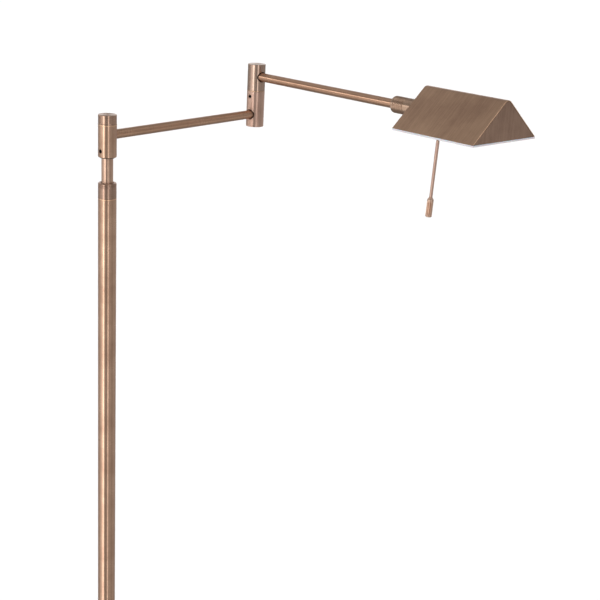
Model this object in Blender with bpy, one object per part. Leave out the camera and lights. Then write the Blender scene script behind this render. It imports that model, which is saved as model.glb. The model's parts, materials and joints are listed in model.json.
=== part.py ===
"""Pharmacy floor lamp: a weighted base, a telescopic mast, two swinging arms and a folded shade.

Metres, +Z up. The origin is the centre of the base's underside. Each joint has an empty on its
axis, and the pieces that it moves hang from that empty, so they are modelled in its own frame:
an arm runs along its local +X, and the shade's ridge runs on along the same line.
"""
from math import cos, pi, radians, sin, tan, tau

import bmesh
import bpy
from mathutils import Matrix, Vector

# ---- driving dimensions ---------------------------------------------------------------------
GAP = 0.0003                  # air left between pieces that touch
WELD = 0.000002               # points closer than this are one point

ARM_HEIGHT = 1.250            # lower arm's centre line above the floor
LOWER_ARM_TURN = radians(51.6)
ELBOW_BEND = radians(-97.6)
LOWER_ARM_LENGTH = 0.2984     # hub axis to elbow axis
UPPER_ARM_RISE = 0.0560       # upper arm's centre line above the lower arm's
SHADE_START = 0.3358          # elbow axis to the shade's inner end
SHADE_LENGTH = 0.1342

BASE_R = 0.125
BASE_SKIN = 0.0015
BASE_RIM = 0.0010             # the cover's rim stays this far above the floor
BASE_SHOULDER = 0.0080
BASE_EDGE_TOP = 0.0225
BASE_TOP = 0.0248
LANDING_R = 0.030             # flat middle of the cover, which the pole stands on
PAD_R = 0.119
PAD_TOP = 0.0020
WEIGHT_R = 0.1195
WEIGHT_TOP = 0.0178
WEIGHT_BOSS_R = 0.027
RECESS_R = 0.0150
RECESS_TOP = 0.0130
CABLE_SLOT_WIDTH = 0.0090
CABLE_SLOT_TOP = 0.0110
GROMMET_HEIGHT = 0.0085
GROMMET_HOLE_R = 0.0045
GROMMET_FLANGE_R = 0.0057
GROMMET_BORE_R = 0.0027

POLE_R = 0.0125
POLE_WALL = 0.0012
POLE_BOTTOM = 0.0303
POLE_FOOT_R = 0.0210
POLE_FOOT_TOP = 0.0440
PLUG_LENGTH = 0.0220
COLLAR_BOTTOM = ARM_HEIGHT - 0.0852
COLLAR_TOP = ARM_HEIGHT - 0.0642
COLLAR_SPIGOT = 0.0180
COLLAR_LIP = 0.0055
COLLAR_MOUTH_R = 0.0088
COLLAR_BORE_R = 0.0096
BEVEL = 0.0008

INNER_TUBE_R = 0.0079
INNER_TUBE_WALL = 0.0010
INNER_TUBE_REACH = 0.380      # length of inner tube below the collar's top
GUIDE_LENGTH = 0.0220

HUB_R = 0.0125
ELBOW_R = 0.0132
HUB_BOTTOM = -0.0290          # heights in the arm's own frame
HUB_SEAM = 0.0148
HUB_TOP = 0.0280
CAP_RIM_R = 0.0127
CAP_STUB_R = 0.0080
CAP_STUB_DEPTH = 0.0055
PIVOT_R = 0.0050
PIVOT_HOLE_R = PIVOT_R + GAP
PIVOT_BORE_R = 0.0030
PIVOT_GROOVE_R = 0.0042
GROOVE_HALF = 0.0026
CHAMBER_HALF = 0.0078         # half height of the space where the lead turns into the arm
HUB_GRUB_HEIGHT = -0.0204
ELBOW_GRUB_HEIGHT = 0.0269
GRUB_R = 0.0019
GRUB_HOLE_R = 0.0022
GRUB_TIP = 0.0048             # distance of each end from the barrel's axis
GRUB_HEAD = 0.0100
SOCKET_R = 0.0010
THRUST_WASHER = 0.0008

ARM_TUBE_R = 0.00635
ARM_TUBE_WALL = 0.0010
ARM_ROOT = 0.0068             # the tube starts this far from the barrel's axis
ELBOW_BOTTOM = -0.0186
ELBOW_SEAM = 0.0346
ELBOW_WASHER = 0.0005
ELBOW_TOP = 0.0743

SHADE_COLLAR_R = 0.0115
SHADE_COLLAR_LENGTH = 0.0530
SHADE_COLLAR_NOSE = 0.0040
SWIVEL_SEAT = 0.0165          # length of the collar's bearing on the arm
SWIVEL_CHAMBER_R = 0.0095
FLANGE_LENGTH = 0.0047
SWIVEL_WASHER = 0.0007
COLLAR_PLUG_DEPTH = 0.0125
NECK_LENGTH = 0.0090
NUT_HEIGHT = 0.0040
NUT_ACROSS_FLATS = 0.0150

SHADE_HALF_WIDTH = 0.0622
SHADE_PEAK = 0.0356           # where the two slopes would meet, above the arm's line
SHADE_RIM = -0.0182
SHADE_SKIN = 0.0012
RIDGE_R = 0.0095
DIFFUSER_BOTTOM = -0.0209
DIFFUSER_RIB_TOP = -0.0140
DIFFUSER_RIB_HALF_WIDTH = 0.0530
DIFFUSER_RIB = 0.0015
SINK_START = 0.0120
SINK_PLATE = 0.0020
SINK_HALF_WIDTH = 0.0370
FIN = 0.0015
FIN_PITCH = 0.0120
FINS_EACH_SIDE = 2
FIN_CLEARANCE = 0.0030
BOARD_START = 0.0400
BOARD_END = 0.1280
BOARD_HALF_WIDTH = 0.0360
BOARD_THICKNESS = 0.0016

WAND_PLACE = 0.0265           # from the shade's inner end, along the ridge
DIMMER_SIZE = 0.0200
DIMMER_TOP = -0.0023
DIMMER_BOTTOM = -0.0150
DIMMER_BUSH_R = 0.0042
DIMMER_BUSH_BOTTOM = -0.0225
DIMMER_SHAFT_R = 0.0025
DIMMER_SHAFT_TOP = -0.0065
DIMMER_REST_TURN = radians(46.0)
FORK_R = 0.0038
FORK_TOP = -0.0228
FORK_BOTTOM = -0.0330
FORK_SLOT_TOP = -0.0262
FORK_SLOT = 0.0028
PIN_HEIGHT = -0.0300
PIN_R = 0.0008
PIN_LENGTH = 0.0070
WAND_LEAN = radians(2.3)
EYE_R = 0.0030
EYE_THICKNESS = 0.0021
WAND_R = 0.0023
HANGER_TOP = -0.0054          # heights in the wand's own frame, down from its pin
HANGER_BOTTOM = -0.0320
WAND_TIP = -0.1090
GRIP_TOP = -0.0825
GRIP_SHOULDER = 0.0030
GRIP_R = 0.0045
GRIP_NECK_R = 0.0039
GRIP_BORE_DEPTH = 0.0080

LEAD_R = 0.0022
ROUND_SIDES = 24
FINE_SIDES = 12
BASE_SIDES = 48
ARC_STEPS = 4

# ---- finishes: colour, roughness, metallic --------------------------------------------------
BRONZE = ((0.42, 0.28, 0.19, 1.0), 0.32, 1.0)
BRONZE_SHEET = ((0.30, 0.20, 0.14, 1.0), 0.42, 1.0)
STEEL = ((0.55, 0.55, 0.56, 1.0), 0.35, 1.0)
ALUMINIUM = ((0.78, 0.79, 0.80, 1.0), 0.40, 1.0)
CAST_IRON = ((0.10, 0.10, 0.10, 1.0), 0.75, 0.6)
BLACK_OXIDE = ((0.05, 0.05, 0.05, 1.0), 0.45, 1.0)
BLACK_PLASTIC = ((0.03, 0.03, 0.03, 1.0), 0.55, 0.0)
RUBBER = ((0.02, 0.02, 0.02, 1.0), 0.85, 0.0)
FELT = ((0.05, 0.05, 0.05, 1.0), 0.95, 0.0)
OPAL = ((0.85, 0.85, 0.84, 1.0), 0.35, 0.0)
BOARD = ((0.88, 0.88, 0.86, 1.0), 0.50, 0.0)


# ---- helpers --------------------------------------------------------------------------------
def clear_scene():
    for obj in list(bpy.data.objects):
        bpy.data.objects.remove(obj, do_unlink=True)


def material(name, finish):
    colour, roughness, metallic = finish
    made = bpy.data.materials.new(name)
    made.use_nodes = True
    shader = made.node_tree.nodes["Principled BSDF"]
    shader.inputs["Base Color"].default_value = colour
    shader.inputs["Roughness"].default_value = roughness
    shader.inputs["Metallic"].default_value = metallic
    made.diffuse_color = colour
    return made


def joint_frame(name, parent=None, location=(0.0, 0.0, 0.0), turn=0.0, lean=0.0):
    """An empty on a joint's axis; turn is about Z, and lean tips it about its own Y."""
    frame = bpy.data.objects.new(name, None)
    bpy.context.scene.collection.objects.link(frame)
    frame.parent = parent
    frame.rotation_euler = (0.0, lean, turn)
    frame.location = location
    return frame


def add_object(name, bm, finish, parent, location=(0.0, 0.0, 0.0)):
    """Close the bmesh into a named object; a finish of None makes a hidden cutter."""
    bmesh.ops.recalc_face_normals(bm, faces=bm.faces)
    mesh = bpy.data.meshes.new(name)
    bm.to_mesh(mesh)
    bm.free()
    mesh.shade_smooth()
    mesh.set_sharp_from_angle(angle=radians(30.0))
    obj = bpy.data.objects.new(name, mesh)
    bpy.context.scene.collection.objects.link(obj)
    obj.parent = parent
    obj.location = location
    if finish is None:
        obj.hide_render = True
        obj.display_type = "WIRE"
    else:
        mesh.materials.append(material(name, finish))
    return obj


AXIS_TURNS = {
    "+Z": Matrix.Identity(4),
    "+X": Matrix.Rotation(pi / 2, 4, "Y"),
    "-X": Matrix.Rotation(-pi / 2, 4, "Y"),
    "+Y": Matrix.Rotation(-pi / 2, 4, "X"),
}


def turned(name, outline, finish, parent=None, axis="+Z", location=(0.0, 0.0, 0.0), sides=ROUND_SIDES):
    """Turn an outline of (radius, distance along the axis) points into a round body.

    An outline that starts and ends on the axis is a solid; any other is closed into a ring.
    """
    bm = bmesh.new()
    points = [bm.verts.new((radius, 0.0, along)) for radius, along in outline]
    edges = [bm.edges.new(pair) for pair in zip(points, points[1:])]
    if outline[0][0] > 0.0 or outline[-1][0] > 0.0:
        edges.append(bm.edges.new((points[-1], points[0])))
    bmesh.ops.spin(bm, geom=points + edges, cent=(0, 0, 0), axis=(0, 0, 1), angle=tau, steps=sides)
    bmesh.ops.remove_doubles(bm, verts=bm.verts, dist=WELD)
    bmesh.ops.transform(bm, matrix=AXIS_TURNS[axis], verts=bm.verts)
    return add_object(name, bm, finish, parent, location)


def ring(inner, outer, low, high):
    """Outline of a plain tube or washer."""
    return [(inner, low), (outer, low), (outer, high), (inner, high)]


def rod(radius, low, high):
    """Outline of a plain round bar."""
    return [(0.0, low), (radius, low), (radius, high), (0.0, high)]


def extruded(name, section, start, end, finish, parent=None):
    """Run a section of (y, z) points along X from start to end."""
    bm = bmesh.new()
    face = bm.faces.new([bm.verts.new((start, y, z)) for y, z in section])
    grown = bmesh.ops.extrude_face_region(bm, geom=[face])
    moved = [item for item in grown["geom"] if isinstance(item, bmesh.types.BMVert)]
    bmesh.ops.translate(bm, vec=(end - start, 0, 0), verts=moved)
    return add_object(name, bm, finish, parent)


def block(name, low, high, finish, parent=None):
    """A rectangular body between two corners."""
    low, high = Vector(low), Vector(high)
    size = high - low
    bm = bmesh.new()
    place = Matrix.Translation((low + high) / 2) @ Matrix.Diagonal((*size, 1.0))
    bmesh.ops.create_cube(bm, size=1.0, matrix=place)
    return add_object(name, bm, finish, parent)


def boolean(obj, other, operation="DIFFERENCE"):
    """Cut obj with a hidden body, or join that body to it."""
    step = obj.modifiers.new(other.name, "BOOLEAN")
    step.operation = operation
    step.object = other
    step.solver = "EXACT"
    return obj


def drill(obj, radius, start, end, parent=None, axis="+Z", location=(0.0, 0.0, 0.0), sides=FINE_SIDES):
    """Cut a round hole from start to end along an axis."""
    name = f"{obj.name}_hole_{len(obj.modifiers)}"
    return boolean(obj, turned(name, rod(radius, start, end), None, parent, axis, location, sides))


def hex_nut(name, low, high, finish, parent=None, axis="+Z"):
    """A hexagon nut with a clearance hole for the nipple."""
    corner_r = NUT_ACROSS_FLATS / 2 / cos(pi / 6)
    nut = turned(name, rod(corner_r, low, high), finish, parent, axis, sides=6)
    return drill(nut, PIVOT_HOLE_R, low - BEVEL, high + BEVEL, parent, axis)


def grub_screw(name, height, parent, barrel_x=0.0):
    """A set screw on the barrel's -X side, with its socket facing out."""
    socket_floor = GRUB_HEAD - 2 * SOCKET_R
    outline = [
        (0.0, GRUB_TIP), (GRUB_R - BEVEL, GRUB_TIP), (GRUB_R, GRUB_TIP + BEVEL), (GRUB_R, GRUB_HEAD),
        (SOCKET_R, GRUB_HEAD), (SOCKET_R, socket_floor), (0.0, socket_floor),
    ]
    return turned(name, outline, BLACK_OXIDE, parent, "-X", (barrel_x, 0.0, height), FINE_SIDES)


def grub_hole(barrel, barrel_r, height, parent, barrel_x=0.0):
    """The set screw's hole, from inside the pivot's bore out through the barrel's wall."""
    place = (barrel_x, 0.0, height)
    return drill(barrel, GRUB_HOLE_R, GRUB_TIP - BEVEL, barrel_r + BEVEL, parent, "-X", place)


def grooved_shaft(low, high, groove):
    """Right-hand side of a pivot's outline, with the neck that its set screw runs in."""
    return [
        (PIVOT_R, low), (PIVOT_R, groove - GROOVE_HALF), (PIVOT_GROOVE_R, groove - GROOVE_HALF),
        (PIVOT_GROOVE_R, groove + GROOVE_HALF), (PIVOT_R, groove + GROOVE_HALF), (PIVOT_R, high),
    ]


# ---- base and fixed pole --------------------------------------------------------------------
def cover_curve(inset):
    """Side of the base cover from rim to middle, moved inwards by inset."""
    centre_r = BASE_R - BASE_SHOULDER
    centre_z = BASE_EDGE_TOP - BASE_SHOULDER
    bend = BASE_SHOULDER - inset
    curve = [(BASE_R - inset, BASE_RIM)]
    for step in range(ARC_STEPS + 1):
        angle = pi / 2 * step / ARC_STEPS
        curve.append((centre_r + bend * cos(angle), centre_z + bend * sin(angle)))
    curve.append((LANDING_R, BASE_TOP - inset))
    curve.append((PIVOT_HOLE_R, BASE_TOP - inset))
    return curve


def make_base():
    turned("foot_pad", rod(PAD_R, 0.0, PAD_TOP), FELT, sides=BASE_SIDES)

    cover_outline = cover_curve(0.0) + cover_curve(BASE_SKIN)[::-1]
    cover = turned("base_cover", cover_outline, BRONZE, sides=BASE_SIDES)
    wall_out = BASE_R + BEVEL
    drill(cover, GROMMET_HOLE_R, WEIGHT_R, wall_out, axis="+Y", location=(0, 0, GROMMET_HEIGHT))

    boss_top = BASE_TOP - BASE_SKIN - GAP
    weight_bottom = PAD_TOP + GAP
    outline = [
        (RECESS_R, weight_bottom), (WEIGHT_R, weight_bottom),
        (WEIGHT_R, WEIGHT_TOP - BASE_SHOULDER / 2), (WEIGHT_R - BASE_SHOULDER / 2, WEIGHT_TOP),
        (WEIGHT_BOSS_R, WEIGHT_TOP), (WEIGHT_BOSS_R, boss_top), (PIVOT_HOLE_R, boss_top),
        (PIVOT_HOLE_R, RECESS_TOP), (RECESS_R, RECESS_TOP),
    ]
    weight = turned("base_weight", outline, CAST_IRON, sides=BASE_SIDES)
    half = CABLE_SLOT_WIDTH / 2
    slot = block("cable_slot", (-half, RECESS_R / 2, 0), (half, BASE_R, CABLE_SLOT_TOP), None)
    boolean(weight, slot)

    inner_face = BASE_R - BASE_SKIN - 2 * GAP
    outer_face = BASE_R + GAP
    outline = [
        (GROMMET_BORE_R, inner_face - BASE_SKIN), (GROMMET_FLANGE_R, inner_face - BASE_SKIN),
        (GROMMET_FLANGE_R, inner_face), (GROMMET_HOLE_R - GAP, inner_face),
        (GROMMET_HOLE_R - GAP, outer_face), (GROMMET_FLANGE_R, outer_face),
        (GROMMET_BORE_R + BEVEL, outer_face + BASE_SKIN), (GROMMET_BORE_R, outer_face + BASE_SKIN),
    ]
    turned("cable_grommet", outline, RUBBER, None, "+Y", (0, 0, GROMMET_HEIGHT), FINE_SIDES)


def make_pole_fixing():
    washer_top = RECESS_TOP - GAP
    washer_bottom = washer_top - 2 * BEVEL
    nut_top = washer_bottom - GAP
    nut_bottom = nut_top - NUT_HEIGHT
    turned("base_lock_washer", ring(PIVOT_HOLE_R, NUT_ACROSS_FLATS / 2, washer_bottom, washer_top), STEEL)
    hex_nut("base_lock_nut", nut_bottom, nut_top, STEEL)
    plug_top = POLE_BOTTOM + PLUG_LENGTH
    turned("base_nipple", ring(PIVOT_BORE_R, PIVOT_R, nut_bottom - BEVEL, plug_top - BEVEL), STEEL,
           sides=FINE_SIDES)
    plug_r = POLE_R - POLE_WALL - GAP
    turned("pole_foot_plug", ring(PIVOT_HOLE_R, plug_r, POLE_BOTTOM, plug_top), STEEL)


def make_pole():
    foot_bottom = BASE_TOP + GAP
    bore_r = POLE_R + GAP
    collar_r = bore_r + BASE_SKIN
    cove = POLE_FOOT_R - collar_r
    cove_top = foot_bottom + 2 * BASE_SKIN + cove
    outline = [(PIVOT_HOLE_R, foot_bottom), (POLE_FOOT_R, foot_bottom)]
    for step in range(ARC_STEPS + 1):
        angle = pi / 2 * step / ARC_STEPS
        outline.append((POLE_FOOT_R - cove * sin(angle), cove_top - cove * cos(angle)))
    outline += [
        (collar_r, POLE_FOOT_TOP - BEVEL), (collar_r - BEVEL, POLE_FOOT_TOP), (bore_r, POLE_FOOT_TOP),
        (bore_r, POLE_BOTTOM - GAP), (PIVOT_HOLE_R, POLE_BOTTOM - GAP),
    ]
    turned("pole_foot", outline, BRONZE)
    turned("outer_pole", ring(POLE_R - POLE_WALL, POLE_R, POLE_BOTTOM, COLLAR_BOTTOM - GAP), BRONZE)


def make_collar():
    spigot_r = POLE_R - POLE_WALL - GAP
    spigot_bottom = COLLAR_BOTTOM - COLLAR_SPIGOT
    lip_bottom = COLLAR_TOP - COLLAR_LIP
    outline = [
        (COLLAR_BORE_R, spigot_bottom), (spigot_r, spigot_bottom), (spigot_r, COLLAR_BOTTOM),
        (POLE_R, COLLAR_BOTTOM), (POLE_R, COLLAR_TOP - BEVEL), (POLE_R - BEVEL, COLLAR_TOP),
        (COLLAR_MOUTH_R, COLLAR_TOP), (COLLAR_MOUTH_R, lip_bottom), (COLLAR_BORE_R, lip_bottom),
    ]
    turned("pole_collar", outline, BRONZE)
    bush = ring(INNER_TUBE_R + GAP, COLLAR_BORE_R - GAP, spigot_bottom + GAP, lip_bottom - GAP)
    turned("guide_bush", bush, BLACK_PLASTIC)


# ---- sliding mast ---------------------------------------------------------------------------
def make_mast(frame):
    """The frame is level with the collar's top, so heights here are counted from there."""
    tube_bottom = -INNER_TUBE_REACH
    hub_bottom = ARM_HEIGHT + HUB_BOTTOM - COLLAR_TOP
    tube_top = hub_bottom - THRUST_WASHER - 2 * GAP
    tube_bore = INNER_TUBE_R - INNER_TUBE_WALL
    turned("inner_tube", ring(tube_bore, INNER_TUBE_R, tube_bottom, tube_top), BRONZE, frame)

    guide_bottom = tube_bottom - GAP - BASE_SKIN
    guide_top = guide_bottom + GUIDE_LENGTH
    guide_r = POLE_R - POLE_WALL - GAP
    outline = [
        (tube_bore - BEVEL, guide_bottom), (guide_r, guide_bottom), (guide_r, guide_top),
        (INNER_TUBE_R + GAP, guide_top), (INNER_TUBE_R + GAP, tube_bottom - GAP),
        (tube_bore - BEVEL, tube_bottom - GAP),
    ]
    turned("lower_guide", outline, BLACK_PLASTIC, frame)

    stem_r = tube_bore - GAP
    spigot_top = ARM_HEIGHT - CHAMBER_HALF - COLLAR_TOP
    groove = ARM_HEIGHT + HUB_GRUB_HEIGHT - COLLAR_TOP
    outline = [(PIVOT_BORE_R, tube_top - COLLAR_SPIGOT), (stem_r, tube_top - COLLAR_SPIGOT), (stem_r, tube_top)]
    outline += grooved_shaft(tube_top, spigot_top, groove)
    outline.append((PIVOT_BORE_R, spigot_top))
    turned("hub_spigot", outline, STEEL, frame)

    washer_bottom = tube_top + GAP
    washer_r = INNER_TUBE_R + 3 * BEVEL
    washer = ring(PIVOT_HOLE_R, washer_r, washer_bottom, washer_bottom + THRUST_WASHER)
    turned("hub_thrust_washer", washer, BLACK_PLASTIC, frame)
    turned("mast_lead", rod(LEAD_R, guide_bottom, spigot_top + PIVOT_R), BLACK_PLASTIC, frame, sides=FINE_SIDES)


# ---- lower arm ------------------------------------------------------------------------------
def make_hub(frame):
    recess_r = CAP_STUB_R + GAP
    recess_floor = HUB_SEAM - CAP_STUB_DEPTH - GAP
    outline = [
        (PIVOT_HOLE_R, HUB_BOTTOM), (HUB_R - BEVEL, HUB_BOTTOM), (HUB_R, HUB_BOTTOM + BEVEL),
        (HUB_R, HUB_SEAM), (recess_r, HUB_SEAM), (recess_r, recess_floor), (PIVOT_HOLE_R, recess_floor),
    ]
    hub = turned("hub_body", outline, BRONZE, frame)
    drill(hub, ARM_TUBE_R + GAP, 0.0, HUB_R + BEVEL, frame, "+X", sides=ROUND_SIDES)
    grub_hole(hub, HUB_R, HUB_GRUB_HEIGHT, frame)
    grub_screw("hub_grub_screw", HUB_GRUB_HEIGHT, frame)

    cap_bottom = HUB_SEAM + GAP
    outline = [
        (0.0, cap_bottom - CAP_STUB_DEPTH), (CAP_STUB_R, cap_bottom - CAP_STUB_DEPTH),
        (CAP_STUB_R, cap_bottom), (CAP_RIM_R, cap_bottom), (CAP_RIM_R, cap_bottom + BEVEL),
        (HUB_R, cap_bottom + 2 * BEVEL), (HUB_R, HUB_TOP - BEVEL), (HUB_R - BEVEL, HUB_TOP),
        (0.0, HUB_TOP),
    ]
    turned("hub_cap", outline, BRONZE, frame)


def make_lower_arm(frame):
    arm_end = LOWER_ARM_LENGTH - ARM_ROOT
    tube_bore = ARM_TUBE_R - ARM_TUBE_WALL
    turned("lower_arm_tube", ring(tube_bore, ARM_TUBE_R, ARM_ROOT, arm_end), BRONZE, frame, "+X")
    turned("lower_arm_lead", rod(LEAD_R, ARM_ROOT, arm_end), BLACK_PLASTIC, frame, "+X", sides=FINE_SIDES)

    elbow = (LOWER_ARM_LENGTH, 0.0, 0.0)
    outline = [
        (0.0, ELBOW_BOTTOM), (ELBOW_R - BEVEL, ELBOW_BOTTOM), (ELBOW_R, ELBOW_BOTTOM + BEVEL),
        (ELBOW_R, ELBOW_SEAM - BEVEL), (ELBOW_R - BEVEL, ELBOW_SEAM), (PIVOT_HOLE_R, ELBOW_SEAM),
        (PIVOT_HOLE_R, -CHAMBER_HALF), (0.0, -CHAMBER_HALF),
    ]
    socket = turned("elbow_socket", outline, BRONZE, frame, location=elbow)
    drill(socket, ARM_TUBE_R + GAP, 0.0, ELBOW_R + BEVEL, frame, "-X", elbow, ROUND_SIDES)
    grub_hole(socket, ELBOW_R, ELBOW_GRUB_HEIGHT, frame, LOWER_ARM_LENGTH)
    grub_screw("elbow_grub_screw", ELBOW_GRUB_HEIGHT, frame, LOWER_ARM_LENGTH)

    washer_bottom = ELBOW_SEAM + GAP
    washer = ring(PIVOT_HOLE_R, ELBOW_R - BEVEL / 2, washer_bottom, washer_bottom + ELBOW_WASHER)
    turned("elbow_thrust_washer", washer, BRONZE, frame, location=elbow)


# ---- upper arm ------------------------------------------------------------------------------
def make_upper_arm(frame):
    """The frame is on the elbow's axis, level with the upper arm's centre line."""
    head_bottom = ELBOW_SEAM + ELBOW_WASHER + 2 * GAP - UPPER_ARM_RISE
    head_top = ELBOW_TOP - UPPER_ARM_RISE
    outline = [
        (0.0, CHAMBER_HALF), (PIVOT_HOLE_R, CHAMBER_HALF), (PIVOT_HOLE_R, head_bottom),
        (ELBOW_R - BEVEL / 2, head_bottom), (ELBOW_R, head_bottom + BEVEL / 2),
        (ELBOW_R, head_top - BEVEL), (ELBOW_R - BEVEL, head_top), (0.0, head_top),
    ]
    head = turned("elbow_head", outline, BRONZE, frame)
    drill(head, ARM_TUBE_R + GAP, 0.0, ELBOW_R + BEVEL, frame, "+X", sides=ROUND_SIDES)

    pivot_top = -CHAMBER_HALF
    pivot_bottom = CHAMBER_HALF - UPPER_ARM_RISE
    groove = ELBOW_GRUB_HEIGHT - UPPER_ARM_RISE
    outline = [(PIVOT_BORE_R, pivot_bottom)] + grooved_shaft(pivot_bottom, pivot_top, groove)
    outline.append((PIVOT_BORE_R, pivot_top))
    turned("elbow_pivot", outline, STEEL, frame)

    collar_start = SHADE_START - GAP - SHADE_COLLAR_LENGTH
    washer_start = collar_start + SWIVEL_SEAT + GAP
    flange_start = washer_start + SWIVEL_WASHER + GAP
    arm_end = flange_start + FLANGE_LENGTH
    tube_bore = ARM_TUBE_R - ARM_TUBE_WALL
    turned("upper_arm_tube", ring(tube_bore, ARM_TUBE_R, ARM_ROOT, arm_end), BRONZE, frame, "+X")
    flange_r = SWIVEL_CHAMBER_R - GAP
    flange_bore = ARM_TUBE_R + GAP
    washer = ring(flange_bore, flange_r, washer_start, washer_start + SWIVEL_WASHER)
    turned("swivel_washer", washer, STEEL, frame, "+X")
    turned("swivel_flange", ring(flange_bore, flange_r, flange_start, arm_end), STEEL, frame, "+X")
    turned("upper_arm_lead", rod(LEAD_R, ARM_ROOT, arm_end), BLACK_PLASTIC, frame, "+X", sides=FINE_SIDES)


# ---- shade ----------------------------------------------------------------------------------
def slope_angle():
    rise = SHADE_PEAK - SHADE_RIM
    return Vector((SHADE_HALF_WIDTH, rise)).angle(Vector((1.0, 0.0)))


def roof_height(y):
    """Underside of the folded sheet at y, on its straight slopes."""
    slope = tan(slope_angle())
    return SHADE_PEAK - abs(y) * slope - SHADE_SKIN / cos(slope_angle())


def gable(inset, bottom):
    """The shade's end view from its left rim over the ridge to its right rim."""
    slope = slope_angle()
    bend_z = SHADE_PEAK - RIDGE_R / cos(slope)
    half = (SHADE_PEAK - bottom) / tan(slope) - inset / sin(slope)
    outline = [(-half, bottom)]
    for step in range(2 * ARC_STEPS + 1):
        angle = pi / 2 + slope * (1 - step / ARC_STEPS)
        bend = RIDGE_R - inset
        outline.append((bend * cos(angle), bend_z + bend * sin(angle)))
    outline.append((half, bottom))
    return outline


def make_shade_shell(frame):
    section = gable(0.0, SHADE_RIM) + gable(SHADE_SKIN, SHADE_RIM)[::-1]
    extruded("shade_cover", section, 0.0, SHADE_LENGTH, BRONZE_SHEET, frame)
    panel = gable(SHADE_SKIN + GAP, SHADE_RIM)
    inner = extruded("shade_end_inner", panel, 0.0, SHADE_SKIN, BRONZE_SHEET, frame)
    drill(inner, PIVOT_HOLE_R, -SHADE_SKIN, 2 * SHADE_SKIN, frame, "+X")
    extruded("shade_end_outer", panel, SHADE_LENGTH - SHADE_SKIN, SHADE_LENGTH, BRONZE_SHEET, frame)

    plate_top = SHADE_RIM - GAP
    half = SHADE_HALF_WIDTH
    diffuser = block("diffuser", (0, -half, DIFFUSER_BOTTOM), (SHADE_LENGTH, half, plate_top), OPAL, frame)
    near = SHADE_SKIN + 2 * GAP
    far = SHADE_LENGTH - near
    rib_half = DIFFUSER_RIB_HALF_WIDTH
    low = (near, -rib_half, DIFFUSER_BOTTOM + BEVEL)
    rib = block("diffuser_rib", low, (far, rib_half, DIFFUSER_RIB_TOP), None, frame)
    inside = rib_half - DIFFUSER_RIB
    low = (near + DIFFUSER_RIB, -inside, plate_top)
    well = block("diffuser_well", low, (far - DIFFUSER_RIB, inside, 0.0), None, frame)
    boolean(diffuser, rib, "UNION")
    boolean(diffuser, well)
    hole_r = DIMMER_BUSH_R + GAP
    drill(diffuser, hole_r, DIFFUSER_BOTTOM - BEVEL, plate_top + BEVEL, frame, location=(WAND_PLACE, 0, 0))


def make_shade_collar(frame):
    """The collar turns on the arm's end; its plug carries the neck that holds the end panel."""
    end = -GAP
    start = end - SHADE_COLLAR_LENGTH
    seat_end = start + SWIVEL_SEAT
    bore = ARM_TUBE_R + GAP
    outline = [(bore, start)]
    for step in range(ARC_STEPS + 1):
        angle = pi / 2 * step / ARC_STEPS
        outline.append((SHADE_COLLAR_R - SHADE_COLLAR_NOSE * (1 - sin(angle)),
                        start + SHADE_COLLAR_NOSE * (1 - cos(angle))))
    outline += [
        (SHADE_COLLAR_R, end), (SWIVEL_CHAMBER_R, end), (SWIVEL_CHAMBER_R, seat_end), (bore, seat_end),
    ]
    turned("shade_collar", outline, BRONZE, frame, "+X")

    plug_r = SWIVEL_CHAMBER_R - GAP
    neck_end = end + NECK_LENGTH
    outline = [
        (PIVOT_BORE_R, end - COLLAR_PLUG_DEPTH), (plug_r, end - COLLAR_PLUG_DEPTH), (plug_r, end),
        (PIVOT_R, end), (PIVOT_R, neck_end), (PIVOT_BORE_R, neck_end),
    ]
    turned("collar_plug", outline, STEEL, frame, "+X")
    nut_start = SHADE_SKIN + GAP
    hex_nut("collar_lock_nut", nut_start, nut_start + NUT_HEIGHT, STEEL, frame, "+X")


def make_light(frame):
    """A finned plate between the slopes carries the light board and the dimmer."""
    section = [(-SINK_HALF_WIDTH, -SINK_PLATE), (-SINK_HALF_WIDTH, 0.0)]
    for fin in range(-FINS_EACH_SIDE, FINS_EACH_SIDE + 1):
        middle = fin * FIN_PITCH
        top = min(roof_height(abs(middle) + FIN), SHADE_PEAK - RIDGE_R) - FIN_CLEARANCE
        near, far = middle - FIN / 2, middle + FIN / 2
        section += [(near, 0.0), (near, top), (far, top), (far, 0.0)]
    section += [(SINK_HALF_WIDTH, 0.0), (SINK_HALF_WIDTH, -SINK_PLATE)]
    sink_end = SHADE_LENGTH - SHADE_SKIN - GAP
    extruded("heat_sink", section, SINK_START, sink_end, ALUMINIUM, frame)
    board_top = -SINK_PLATE - GAP
    low = (BOARD_START, -BOARD_HALF_WIDTH, board_top - BOARD_THICKNESS)
    block("led_board", low, (BOARD_END, BOARD_HALF_WIDTH, board_top), BOARD, frame)


def make_dimmer_body(frame):
    half = DIMMER_SIZE / 2
    low = (WAND_PLACE - half, -half, DIMMER_BOTTOM)
    body = block("dimmer_body", low, (WAND_PLACE + half, half, DIMMER_TOP), BLACK_PLASTIC, frame)
    place = (WAND_PLACE, 0.0, 0.0)
    bush_outline = rod(DIMMER_BUSH_R, DIMMER_BUSH_BOTTOM, DIMMER_BOTTOM + BEVEL)
    bush = turned("dimmer_bush", bush_outline, None, frame, "+Z", place, FINE_SIDES)
    boolean(body, bush, "UNION")
    bore_bottom = DIMMER_BUSH_BOTTOM - BEVEL
    drill(body, DIMMER_SHAFT_R + GAP, bore_bottom, DIMMER_SHAFT_TOP + GAP, frame, location=place)


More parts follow.
